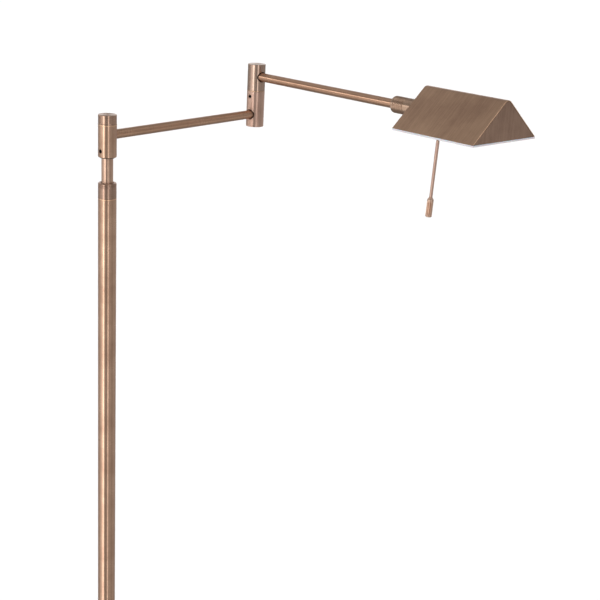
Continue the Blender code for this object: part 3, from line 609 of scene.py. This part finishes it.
# ---- barrels of the hub and the elbow -------------------------------------------------------
HUB_R = 12.5 * MM
ELBOW_R = 13.2 * MM
PIVOT_CHAMBER = 7.8 * MM            # the pivot's room, above and below the elbow's frames
BARREL_CHAMFER = 0.5 * MM
CAP_RECESS_R = 8.3 * MM
CAP_RECESS_DEPTH = 5.8 * MM
CAP_SPIGOT_R = 8.0 * MM
CAP_RIM = 1.2 * MM
TOP_RINGS = 7
TOP_RING_DEPTH = 0.05 * MM
TOP_RING_INNER = 1.5 * MM
ARM_R = 6.35 * MM
ARM_HOLE_R = 6.6 * MM
COUNTERBORE_R = 7.7 * MM
COUNTERBORE_DEPTH = 5.4 * MM
GRUB_HOLE_R = 2.7 * MM
GRUB_HOLE_START = 4.0 * MM
GRUB_SINK = 0.12 * MM               # a small countersink at the hole's mouth
GRUB_R = 1.9 * MM
GRUB_POINT = 0.7 * MM
SOCKET_R = 1.0 * MM
SOCKET_DEPTH = 2 * MM
PAST = 1.0 * MM                     # how far a cutter sticks out


def arm_hole(place, turn, barrel_r):
    """Cutter for the counterbored hole that an arm enters by."""
    floor, mouth = barrel_r - COUNTERBORE_DEPTH, barrel_r + PAST
    outline = [(0, 0, 0), (ARM_HOLE_R, 0, 0), (ARM_HOLE_R, floor, 0), (COUNTERBORE_R, floor + 1.0 * MM, 0),
               (COUNTERBORE_R, mouth, 0), (0, mouth, 0)]
    return cutter(outline, place @ turn)


def grub_hole(place, height, barrel_r):
    """Cutter for a set screw's hole on the barrel's -X side."""
    turn = Matrix.Translation((0, 0, height)) @ ALONG_MINUS_X
    mouth = barrel_r + 2 * GRUB_SINK
    outline = [(0, GRUB_HOLE_START, 0), (GRUB_HOLE_R, GRUB_HOLE_START, 0),
               (GRUB_HOLE_R, barrel_r - GRUB_SINK, 0), (GRUB_HOLE_R + 3 * GRUB_SINK, mouth, 0), (0, mouth, 0)]
    return cutter(outline, place @ turn, 32)


def make_hexagonal(bm, inner, outer):
    """Push a round socket's vertices out onto the hexagon around it."""
    for vertex in bm.verts:
        reach = hypot(vertex.co.x, vertex.co.y)
        if inner < reach < outer:
            angle = atan2(vertex.co.y, vertex.co.x)
            stretch = 1.0 / cos((angle + pi / 6) % (pi / 3) - pi / 6)
            vertex.co.x *= stretch
            vertex.co.y *= stretch


def make_grub_screw(node, place, height):
    """A set screw with a hexagon socket, below the barrel's surface."""
    turn = place @ Matrix.Translation((0, 0, height)) @ ALONG_MINUS_X
    low, high = span(node, turn)
    head = high.z
    outline = [(0, low.z, 0), (GRUB_R - GRUB_POINT, low.z, FINE), (GRUB_R, low.z + GRUB_POINT, FINE),
               (GRUB_R, head, SMALL), (SOCKET_R, head, FINE), (SOCKET_R, head - SOCKET_DEPTH, 0),
               (0, head - SOCKET_DEPTH, 0)]
    bm = lathe_mesh(outline, 48)
    make_hexagonal(bm, SOCKET_R / 2, SOCKET_R + 0.06 * MM)
    add_piece(f"{node}_socketed", bm, turn, "lower_arm", "black_oxide", [node])


def make_hub():
    low, high = span("hub_body", LOWER_ARM)
    seam, bottom = high.z, low.z
    recess_floor = seam - CAP_RECESS_DEPTH
    outline = [
        (PIVOT_HOLE_R, bottom, SOFT), (HUB_R - BARREL_CHAMFER, bottom, SMALL),
        (HUB_R, bottom + BARREL_CHAMFER, SMALL), (HUB_R, seam - BARREL_CHAMFER, FINE),
        (HUB_R - 0.35 * MM, seam, FINE), (CAP_RECESS_R, seam, FINE),
        (CAP_RECESS_R, recess_floor, 0), (PIVOT_HOLE_R, recess_floor, 0),
    ]
    height = middle_height("hub_grub_screw", LOWER_ARM)
    cutters = [arm_hole(LOWER_ARM, ALONG_X, HUB_R), grub_hole(LOWER_ARM, height, HUB_R)]
    barrel = with_holes(lathe_mesh(outline, BARREL_SIDES), LOWER_ARM, cutters)
    add_piece("hub_barrel", barrel, LOWER_ARM, "lower_arm", "bronze", ["hub_body"])
    make_grub_screw("hub_grub_screw", LOWER_ARM, height)
    painted_highlight_lip("hub_painted_highlight", HUB_R, seam, LOWER_ARM, "lower_arm")


def make_hub_cap():
    seam = span("hub_body", LOWER_ARM)[1].z
    low, high = span("hub_cap", LOWER_ARM)
    rim, top = high.x, high.z
    side = HUB_R - HAIR
    start = seam + FINE
    outline = [
        (0, low.z, 0), (CAP_SPIGOT_R, low.z, SOFT), (CAP_SPIGOT_R, start, 0), (rim - FINE, start, HAIR),
        (rim, start + FINE, HAIR), (rim, start + CAP_RIM, SOFT), (side, start + CAP_RIM + 0.4 * MM, SMALL),
        (side, top, 0.7 * MM),
    ]
    outline += turning_marks(TOP_RING_INNER, 11.0 * MM, top, TOP_RINGS, TOP_RING_DEPTH)
    outline.append((0, top, 0))
    turned("hub_cap_turned", outline, LOWER_ARM, "lower_arm", "bronze_cap", ["hub_cap"],
           BARREL_SIDES)


def make_arm_tube(name, node, place, body):
    low, high = span(node, place)
    bore = ARM_R - THIN_WALL
    outline = [(bore, low.x, 0), (ARM_R, low.x, SMALL), (ARM_R, high.x, SMALL), (bore, high.x, 0)]
    turned(name, outline, place @ ALONG_X, body, "bronze_arm", [node], sides=80)


def make_lower_barrel(upright):
    low, high = span("elbow_socket", LOWER_ELBOW)
    bottom, seam = low.z, high.z
    outline = [
        (0, bottom, 0), (ELBOW_R - BARREL_CHAMFER, bottom, SMALL), (ELBOW_R, bottom + BARREL_CHAMFER, SMALL),
        (ELBOW_R, seam - 0.15 * MM, FINE), (ELBOW_R - FINE, seam, HAIR),
        (PIVOT_HOLE_R, seam, SMALL), (PIVOT_HOLE_R, -PIVOT_CHAMBER, 0), (0, -PIVOT_CHAMBER, 0),
    ]
    height = middle_height("elbow_grub_screw", LOWER_ELBOW)
    cutters = [arm_hole(LOWER_ELBOW, ALONG_MINUS_X, ELBOW_R), grub_hole(LOWER_ELBOW, height, ELBOW_R)]
    barrel = with_holes(lathe_mesh(outline, BARREL_SIDES), upright, cutters)
    add_piece("elbow_lower_barrel", barrel, upright, "lower_arm", "bronze_rosy", ["elbow_socket"])
    make_grub_screw("elbow_grub_screw", LOWER_ELBOW, height)

    low, high = span("elbow_thrust_washer", LOWER_ELBOW)
    edge = ELBOW_R - 0.02 * MM
    outline = [(PIVOT_HOLE_R, low.z, 0), (edge, low.z, HAIR), (edge, high.z, HAIR), (PIVOT_HOLE_R, high.z, 0)]
    # The thrust ring takes the bright edge finish: a painted highlight along the elbow's seam.
    turned("elbow_thrust_ring", outline, upright, "lower_arm", "bronze_edge_painted_highlight", ["elbow_thrust_washer"],
           sides=BARREL_SIDES)


def make_upper_barrel(upright):
    low, high = span("elbow_head", UPPER_ARM)
    bottom, top = low.z, high.z
    edge = 0.02 * MM
    outline = [
        (0, PIVOT_CHAMBER, 0), (PIVOT_HOLE_R, PIVOT_CHAMBER, 0), (PIVOT_HOLE_R, bottom, SMALL),
        (ELBOW_R - HAIR, bottom, edge), (ELBOW_R, bottom + FINE, edge), (ELBOW_R, top, 0.8 * MM),
    ]
    outline += turning_marks(TOP_RING_INNER, 10.8 * MM, top, TOP_RINGS, TOP_RING_DEPTH)
    outline.append((0, top, 0))
    barrel = with_holes(lathe_mesh(outline, BARREL_SIDES), upright, [arm_hole(UPPER_ARM, ALONG_X, ELBOW_R)])
    add_piece("elbow_upper_barrel", barrel, upright, "upper_arm", "bronze_polished", ["elbow_head"])


# ---- shade ----------------------------------------------------------------------------------
PEAK = 35.6 * MM                    # where the two slopes would meet, above the arm's line
RIDGE_R = 9.5 * MM
RIDGE_STEPS = 16
SHEET = 1.2 * MM
SHEET_EDGE = 0.5 * MM               # how far the folded sheet's edges are rounded
PANEL_EDGE = 0.2 * MM
SHADE_STRIPS = 8


def gable(half_width, rim, inset):
    """The shade's end view, from one rim over the rounded ridge to the other."""
    slope = Vector((half_width, PEAK - rim)).angle(Vector((1, 0)))
    centre = PEAK - RIDGE_R / cos(slope)
    reach = (PEAK - rim) / tan(slope) - inset / sin(slope)
    outline = [(-reach, rim)]
    for step in range(RIDGE_STEPS + 1):
        angle = pi / 2 + slope * (1 - 2 * step / RIDGE_STEPS)
        outline.append(((RIDGE_R - inset) * cos(angle), centre + (RIDGE_R - inset) * sin(angle)))
    outline.append((reach, rim))
    return outline


def loft(bm, section, stations):
    """Walls that carry a closed (y, z) section along X. Returns its loops at the stations."""
    loops = [[bm.verts.new((x, y, z)) for y, z in section] for x in stations]
    count = len(section)
    for near, far in zip(loops, loops[1:]):
        for index in range(count):
            following = (index + 1) % count
            bm.faces.new((near[index], near[following], far[following], far[index]))
    return loops


def folded_sheet(outer, inner, stations):
    """A bent sheet between an outer and an inner outline, with its cut ends in their own slot."""
    bm = bmesh.new()
    loops = loft(bm, outer + inner[::-1], stations)
    for loop in (loops[0], loops[-1]):
        for index in range(len(outer) - 1):
            face = bm.faces.new((loop[index], loop[index + 1], loop[-2 - index], loop[-1 - index]))
            face.material_index = INSIDE
    bmesh.ops.recalc_face_normals(bm, faces=bm.faces)
    return bm


def flat_plate(section, start, end):
    """A flat panel with the given (y, z) outline."""
    bm = bmesh.new()
    for loop in loft(bm, section, (start, end)):
        bm.faces.new(loop)
    bmesh.ops.recalc_face_normals(bm, faces=bm.faces)
    return bm


def make_shade():
    low, high = span("shade_cover", SHADE)
    half, rim = high.y, low.z
    stations = [low.x + (high.x - low.x) * step / SHADE_STRIPS for step in range(SHADE_STRIPS + 1)]
    bm = folded_sheet(gable(half, rim, 0.0), gable(half, rim, SHEET), stations)
    # The sheet's cut ends take the bright edge finish: bare metal of the cut, brightened into a painted
    # highlight.
    add_piece("shade_folded_sheet", bm, SHADE, "shade", "bronze_slope", ["shade_cover"],
              bevel=SHEET_EDGE, inside="bronze_edge_painted_highlight")

    panel = gable(half, rim, SHEET + GAP)
    # The end panels take the darker copy of the sheet colour: painted shade.
    low, high = span("shade_end_outer", SHADE)
    add_piece("shade_near_panel", flat_plate(panel, low.x, high.x), SHADE, "shade", "bronze_end_painted_shade",
              ["shade_end_outer"], bevel=PANEL_EDGE)
    low, high = span("shade_end_inner", SHADE)
    neck = rod_cutter(PIVOT_HOLE_R, -10 * MM, 10 * MM, SHADE @ ALONG_X)
    plate = with_holes(flat_plate(panel, low.x, high.x), SHADE, [neck])
    add_piece("shade_far_panel", plate, SHADE, "shade", "bronze_end_painted_shade", ["shade_end_inner"],
              bevel=PANEL_EDGE)


TRAY_WALL = 1.5 * MM
TRAY_INSET = 1.8 * MM               # from the shade's ends to the tray's wall
TRAY_HALF_WIDTH = 53.0 * MM
TRAY_EDGE = 0.35 * MM
BUSH_HOLE_R = 4.5 * MM


def make_diffuser():
    """An opal tray: a plate flush with the rim and a low wall that locates it inside."""
    low, high = span("diffuser", SHADE)
    half, length = high.y, high.x
    plate_top = span("shade_cover", SHADE)[0].z - GAP
    well, well_half = TRAY_INSET + TRAY_WALL, TRAY_HALF_WIDTH - TRAY_WALL
    bm = bmesh.new()

    def loop(inset, y, z):
        x0, x1 = inset, length - inset
        return [bm.verts.new(corner) for corner in ((x0, -y, z), (x1, -y, z), (x1, y, z), (x0, y, z))]

    rings = [
        loop(0.0, half, low.z), loop(0.0, half, plate_top),
        loop(TRAY_INSET, TRAY_HALF_WIDTH, plate_top), loop(TRAY_INSET, TRAY_HALF_WIDTH, high.z),
        loop(well, well_half, high.z), loop(well, well_half, plate_top),
    ]
    for lower, upper in zip(rings, rings[1:]):
        for index in range(4):
            following = (index + 1) % 4
            bm.faces.new((lower[index], lower[following], upper[following], upper[index]))
    bm.faces.new(rings[0])
    bm.faces.new(rings[-1])
    bmesh.ops.recalc_face_normals(bm, faces=bm.faces)
    place = SHADE @ Matrix.Translation((DIMMER_PLACE.x, 0, 0))
    bush = rod_cutter(BUSH_HOLE_R, -30 * MM, -10 * MM, place, 48)
    add_piece("opal_diffuser", with_holes(bm, SHADE, [bush]), SHADE, "shade", "opal", ["diffuser"],
              bevel=TRAY_EDGE)


RIBBED_R = 11.5 * MM
RIBBED_BORE_R = 6.5 * MM
RIBBED_CHAMBER_R = 9.5 * MM
RIBBED_SEAT = 16.5 * MM             # the chamber starts this far from the nose
RIBBED_NOSE = 4.2 * MM
GROOVES = 7
GROOVE_FIRST = 5.6 * MM
GROOVE_PITCH = 2.7 * MM
GROOVE_HALF = 0.7 * MM
GROOVE_DEPTH = 0.7 * MM
GROOVE_EDGE = 0.15 * MM
NECK_GROOVE = 5.0 * MM              # the single groove, from the shade's end
NECK_GROOVE_DEPTH = 0.8 * MM


def make_shade_collar():
    """Barrel with a rounded nose, turned grooves on its first half and one by the shade."""
    place = SHADE @ ALONG_X
    low, high = span("shade_collar", place)
    start, end = low.z, high.z
    outline = [(RIBBED_BORE_R, start + 0.4 * MM, SMALL), (RIBBED_BORE_R + 0.6 * MM, start, SOFT),
               (RIBBED_R, start, RIBBED_NOSE)]
    floor = RIBBED_R - GROOVE_DEPTH
    for groove in range(GROOVES):
        middle = start + GROOVE_FIRST + GROOVE_PITCH * groove
        outline += [
            (RIBBED_R, middle - GROOVE_HALF, GROOVE_EDGE), (floor, middle - GROOVE_HALF / 2, FINE),
            (floor, middle + GROOVE_HALF / 2, FINE), (RIBBED_R, middle + GROOVE_HALF, GROOVE_EDGE),
        ]
    neck = end - NECK_GROOVE
    floor = RIBBED_R - NECK_GROOVE_DEPTH
    outline += [
        (RIBBED_R, neck - 0.5 * MM, GROOVE_EDGE), (floor, neck, SMALL), (floor, neck + 0.8 * MM, SMALL),
        (RIBBED_R, neck + 1.3 * MM, GROOVE_EDGE), (RIBBED_R, end, 0.4 * MM), (RIBBED_CHAMBER_R, end, SMALL),
        (RIBBED_CHAMBER_R, start + RIBBED_SEAT, 0), (RIBBED_BORE_R, start + RIBBED_SEAT, 0),
    ]
    turned("shade_collar_ribbed", outline, place, "shade", "bronze_ribbed", ["shade_collar"], sides=128)


# ---- dimmer and wand ------------------------------------------------------------------------
FORK_R = 3.8 * MM
FORK_LENGTH = 10.2 * MM
FORK_SLOT_WIDTH = 2.8 * MM
FORK_SLOT_DEPTH = 6.8 * MM
FORK_SLOT_RUN = 12 * MM
SHAFT_R = 2.5 * MM
PIN_HOLE_R = 1.1 * MM


def slot_cutter(bottom):
    """A hidden block that saws the fork's slot, open below."""
    bm = bmesh.new()
    top, base = bottom + FORK_SLOT_DEPTH, bottom - 4 * MM
    middle = Matrix.Translation((0, 0, (top + base) / 2))
    size = Matrix.Diagonal((FORK_SLOT_RUN, FORK_SLOT_WIDTH, top - base, 1))
    bmesh.ops.create_cube(bm, size=1.0, matrix=middle @ size)
    return new_object("slot", bm, DIMMER)


def make_dimmer_shaft():
    low, high = span("dimmer_shaft", DIMMER)
    top, bottom = high.z, low.z
    shoulder = bottom + FORK_LENGTH
    outline = [(0, bottom, 0), (FORK_R, bottom, 0.9 * MM), (FORK_R, shoulder, ROUND),
               (SHAFT_R, shoulder, FINE), (SHAFT_R, top, 0.4 * MM), (0, top, 0)]
    pin_line = Matrix.Translation(WAND.translation) @ ALONG_Y
    cutters = [slot_cutter(bottom), rod_cutter(PIN_HOLE_R, -10 * MM, 10 * MM, pin_line, 24)]
    shaft = with_holes(lathe_mesh(outline, CUTTER_SIDES), DIMMER, cutters)
    add_piece("dimmer_fork", shaft, DIMMER, "dimmer", "bronze_rosy", ["dimmer_shaft"])


HANGER_R = 2.3 * MM
HANGER_TOP = -5.4 * MM              # below the pin
WAND_R = 2.2 * MM
WAND_SIDES = 40
EYE_HALF = 1.05 * MM
EYE_NECK_HALF = 1.4 * MM
EYE_NECK_START = -1.6 * MM
EYE_STEPS = 40


def make_wand_hanger():
    """The rod's top, and the flat eye above it that the pin goes through."""
    eye_low, eye_high = span("wand_hanger", WAND)
    seam, top = eye_low.z, HANGER_TOP
    outline = [(0, seam, 0), (HANGER_R, seam, 0.25 * MM), (HANGER_R, top - 0.6 * MM, ROUND),
               (HANGER_R - 0.9 * MM, top, SOFT), (0, top, 0)]
    turned("wand_hanger_rod", outline, WAND, "wand", "bronze_rosy", ["wand_hanger"], sides=WAND_SIDES)

    bm = bmesh.new()
    rings = []
    for y in (-EYE_HALF, EYE_HALF):
        outer, inner = [], []
        for step in range(EYE_STEPS):
            angle = tau * step / EYE_STEPS
            x, z = eye_high.z * sin(angle), eye_high.z * cos(angle)
            if z <= EYE_NECK_START:
                x = max(-EYE_NECK_HALF, min(EYE_NECK_HALF, x))
                z = top - 0.8 * MM
            outer.append(bm.verts.new((x, y, z)))
            inner.append(bm.verts.new((PIN_HOLE_R * sin(angle), y, PIN_HOLE_R * cos(angle))))
        rings.append((outer, inner))
    (front_out, front_in), (back_out, back_in) = rings
    walls = ((front_out, front_in), (back_out, back_in), (front_out, back_out), (front_in, back_in))
    for first, second in walls:
        for step in range(EYE_STEPS):
            following = (step + 1) % EYE_STEPS
            bm.faces.new((first[step], first[following], second[following], second[step]))
    bmesh.ops.recalc_face_normals(bm, faces=bm.faces)
    add_piece("wand_eye", bm, WAND, "wand", "bronze_rosy")


def make_wand_rod():
    low, high = span("wand_rod", WAND)
    outline = [(0, low.z, 0), (WAND_R, low.z, SMALL), (WAND_R, high.z, 0.25 * MM), (0, high.z, 0)]
    turned("wand_rod_drawn", outline, WAND, "wand", "bronze_rosy", ["wand_rod"], sides=WAND_SIDES)


GRIP_R = 4.5 * MM
GRIP_TAPER = 0.15 * MM
GRIP_NECK_R = 2.9 * MM
GRIP_BORE_R = 2.5 * MM
GRIP_BORE_DEPTH = 8 * MM
GRIP_STEPS = 14
GRIP_SIDES = 144
GRIP_SMOOTH = 50.0                  # degrees that still look smooth on the flutes
FLUTES = 9
FLUTE_DEPTH = 0.24                  # share of the radius
FLUTE_END = 1.5 * MM                # the flutes fade out over this length
FLUTE_SHARPNESS = 1.5


def make_wand_grip():
    low, high = span("wand_grip", WAND)
    tip, crown = low.z, high.z
    flute_low, flute_high = tip + 1.8 * MM, crown - 4.0 * MM

    def fluted(angle, height):
        ends = min(height - flute_low, flute_high - height) / FLUTE_END
        depth = FLUTE_DEPTH * max(0.0, min(1.0, ends))
        return 1.0 - depth * max(0.0, cos(FLUTES * angle)) ** FLUTE_SHARPNESS

    outline = [(0, tip, 0), (2.4 * MM, tip, 0), (3.6 * MM, tip + 0.35 * MM, 0),
               (4.2 * MM, tip + 1.0 * MM, 0), (GRIP_R - HAIR, flute_low, 0)]
    for step in range(1, GRIP_STEPS + 1):
        share = step / GRIP_STEPS
        outline.append((GRIP_R - GRIP_TAPER * share, flute_low + (flute_high - flute_low) * share, 0))
    outline += [
        (GRIP_R - GRIP_TAPER, crown - 2.6 * MM, 0.8 * MM), (GRIP_NECK_R, crown - 0.3 * MM, SMALL),
        (GRIP_BORE_R + 0.15 * MM, crown, FINE), (GRIP_BORE_R, crown - 0.3 * MM, 0),
        (GRIP_BORE_R, crown - GRIP_BORE_DEPTH, 0), (0, crown - GRIP_BORE_DEPTH, 0),
    ]
    bm = lathe_mesh(outline, GRIP_SIDES, fluted)
    add_piece("wand_grip_fluted", bm, WAND, "wand", "bronze_wand", ["wand_grip"], smooth=GRIP_SMOOTH)


# ---- CAD nodes that stay --------------------------------------------------------------------
KEPT = {
    "felt": ("foot_pad",),
    "cast_iron": ("base_weight",),
    "steel": ("base_nipple", "base_lock_washer", "base_lock_nut", "pole_foot_plug", "hub_spigot",
              "elbow_pivot", "swivel_washer", "swivel_flange", "collar_plug", "collar_lock_nut", "wand_pin"),
    "black_plastic": ("guide_bush", "lower_guide", "mast_lead", "lower_arm_lead", "upper_arm_lead",
                      "dimmer_body"),
    "aluminium": ("heat_sink",),
    "board": ("led_board",),
}


def finish_kept_nodes():
    for material, nodes in KEPT.items():
        for node in nodes:
            mesh = NODES[node].data
            mesh.materials.clear()
            mesh.materials.append(MATERIALS[material])


# ---- floor and light ------------------------------------------------------------------------
FLOOR_RADIUS = 90.0
FLOOR_SIDES = 96
FLOOR_GREY = (0.90, 0.90, 0.90, 1.0)
FLOOR_ROUGHNESS = 0.9
SUN_ENERGY = 2.02
SUN_SPREAD = 50.0
SUN_TURN = (18.0, -16.0, 0.0)

# The dim room by elevation: lower and upper degree, and the value below and above them.
ROOM = (-30.0, -15.0, 0.38, 0.60)
ROOM_DIP = (-12.5, -8.0, 0.0, -0.25)             # added to it: darker from just below level upwards
ROOM_FLOOR = (-70.0, -45.0, 0.5, 1.0)            # times both: darker straight below

# bearing, half width, soft edge, low, high, soft top and bottom, strength
PANELS = (
    (-126.0, 9.0, 5.5, -45.0, 16.0, 8.0, 2.7),       # key strip, front left
    (-104.0, 7.0, 5.0, -14.0, -8.5, 1.5, 1.0),       # its kink to the right, higher up
    (-150.0, 24.0, 14.0, -45.0, -12.0, 5.0, 0.30),   # its wide glow to the left, strong low down
    (-146.0, 20.0, 14.0, -45.0, 14.0, 10.0, 0.80),
    (-68.0, 5.5, 3.0, -50.0, 20.0, 8.0, 1.5),        # thin strip, right of the camera
    (-54.0, 6.0, 4.0, -14.0, -8.5, 1.5, 0.6),        # its kink to the right, higher up
    (-32.0, 5.0, 4.0, -50.0, -12.0, 3.0, 0.30),      # faint strips at the right
    (16.0, 8.0, 5.0, -50.0, -12.0, 3.0, 0.20),
    (8.0, 14.0, 8.0, 4.0, 16.0, 4.0, 0.20),          # pale patch that the lower arm mirrors
    (-48.0, 18.0, 8.0, 36.0, 66.0, 8.0, 2.4),        # high box, front right
    (-95.0, 34.0, 14.0, 54.0, 66.0, 5.0, 0.8),       # high box above the camera
    (90.0, 50.0, 20.0, 2.0, 26.0, 6.0, 0.60),        # pale backdrop behind the lamp
    (140.0, 26.0, 14.0, 30.0, 46.0, 8.0, 0.36),      # high glow, back left
    (178.0, 13.0, 6.0, 3.0, 16.0, 3.0, 3.0),         # strip at the left, which the upper arm mirrors
)


def make_floor():
    """A pale floor that reaches past the view; the metal doesn't mirror it."""
    made, _graph, shader = new_material("floor", 0.0)
    shader.inputs["Base Color"].default_value = FLOOR_GREY
    shader.inputs["Roughness"].default_value = FLOOR_ROUGHNESS
    shader.inputs["Specular IOR Level"].default_value = 0.0
    bm = bmesh.new()
    bmesh.ops.create_circle(bm, cap_ends=True, radius=FLOOR_RADIUS, segments=FLOOR_SIDES)
    floor = new_object("floor", bm, STAND)
    floor.data.materials.append(made)
    floor.visible_glossy = False


def sky_panel(graph, bearing, elevation, panel):
    """One soft rectangle of light on the sky."""
    centre, half, soft, low, high, fade, strength = panel
    turn = graph.math("WRAP", graph.math("SUBTRACT", bearing, radians(centre)), pi, -pi)
    away = graph.math("ABSOLUTE", turn)
    across = graph.grade(away, radians(half - soft), radians(half + soft), 1.0, 0.0, True)
    above = graph.grade(elevation, radians(low - fade), radians(low + fade), 0.0, 1.0, True)
    below = graph.grade(elevation, radians(high - fade), radians(high + fade), 1.0, 0.0, True)
    inside = graph.math("MULTIPLY", above, below)
    return graph.math("MULTIPLY", inside, graph.math("MULTIPLY", across, strength))


def make_world():
    """A dim studio with soft panels. Bearings are degrees from +X, elevations above level."""
    world = bpy.data.worlds.new("studio")
    world.use_nodes = True
    bpy.context.scene.world = world
    graph = Graph(world.node_tree)
    direction = graph.node("ShaderNodeTexCoord").outputs["Generated"]
    x, y, z = graph.node("ShaderNodeSeparateXYZ", Vector=direction).outputs
    bearing = graph.math("ARCTAN2", y, x)
    elevation = graph.math("ARCSINE", z)

    def by_elevation(low, high, below, above):
        return graph.grade(elevation, radians(low), radians(high), below, above, True)

    total = graph.math("ADD", by_elevation(*ROOM), by_elevation(*ROOM_DIP))
    total = graph.math("MULTIPLY", total, by_elevation(*ROOM_FLOOR))
    for panel in PANELS:
        total = graph.math("ADD", total, sky_panel(graph, bearing, elevation, panel))
    background = world.node_tree.nodes["Background"]
    graph.feed(background, "Strength", total)
    background.inputs["Color"].default_value = (1.0, 1.0, 1.0, 1.0)


def make_sun():
    """A very soft overhead light for the floor and the plastics; the metal doesn't mirror it."""
    data = bpy.data.lights.new("overhead", "SUN")
    data.energy = SUN_ENERGY
    data.angle = radians(SUN_SPREAD)
    light = bpy.data.objects.new("overhead", data)
    bpy.context.scene.collection.objects.link(light)
    light.rotation_euler = [radians(turn) for turn in SUN_TURN]
    light.visible_glossy = False


# ---- the scene ------------------------------------------------------------------------------
def main():
    bpy.context.scene.view_settings.view_transform = "Standard"
    make_camera()
    make_base_cover()
    make_grommet()
    make_foot()
    make_pole()
    make_pole_collar()
    make_mast()
    make_hub()
    make_hub_cap()
    make_arm_tube("lower_arm_drawn", "lower_arm_tube", LOWER_ARM, "lower_arm")
    make_lower_barrel(Matrix.Translation(LOWER_ELBOW.translation))
    make_upper_barrel(Matrix.Translation(UPPER_ARM.translation))
    make_arm_tube("upper_arm_drawn", "upper_arm_tube", UPPER_ARM, "upper_arm")
    make_shade_collar()
    make_shade()
    make_diffuser()
    make_dimmer_shaft()
    make_wand_hanger()
    make_wand_rod()
    make_wand_grip()
    finish_kept_nodes()
    make_floor()
    make_world()
    make_sun()


main()
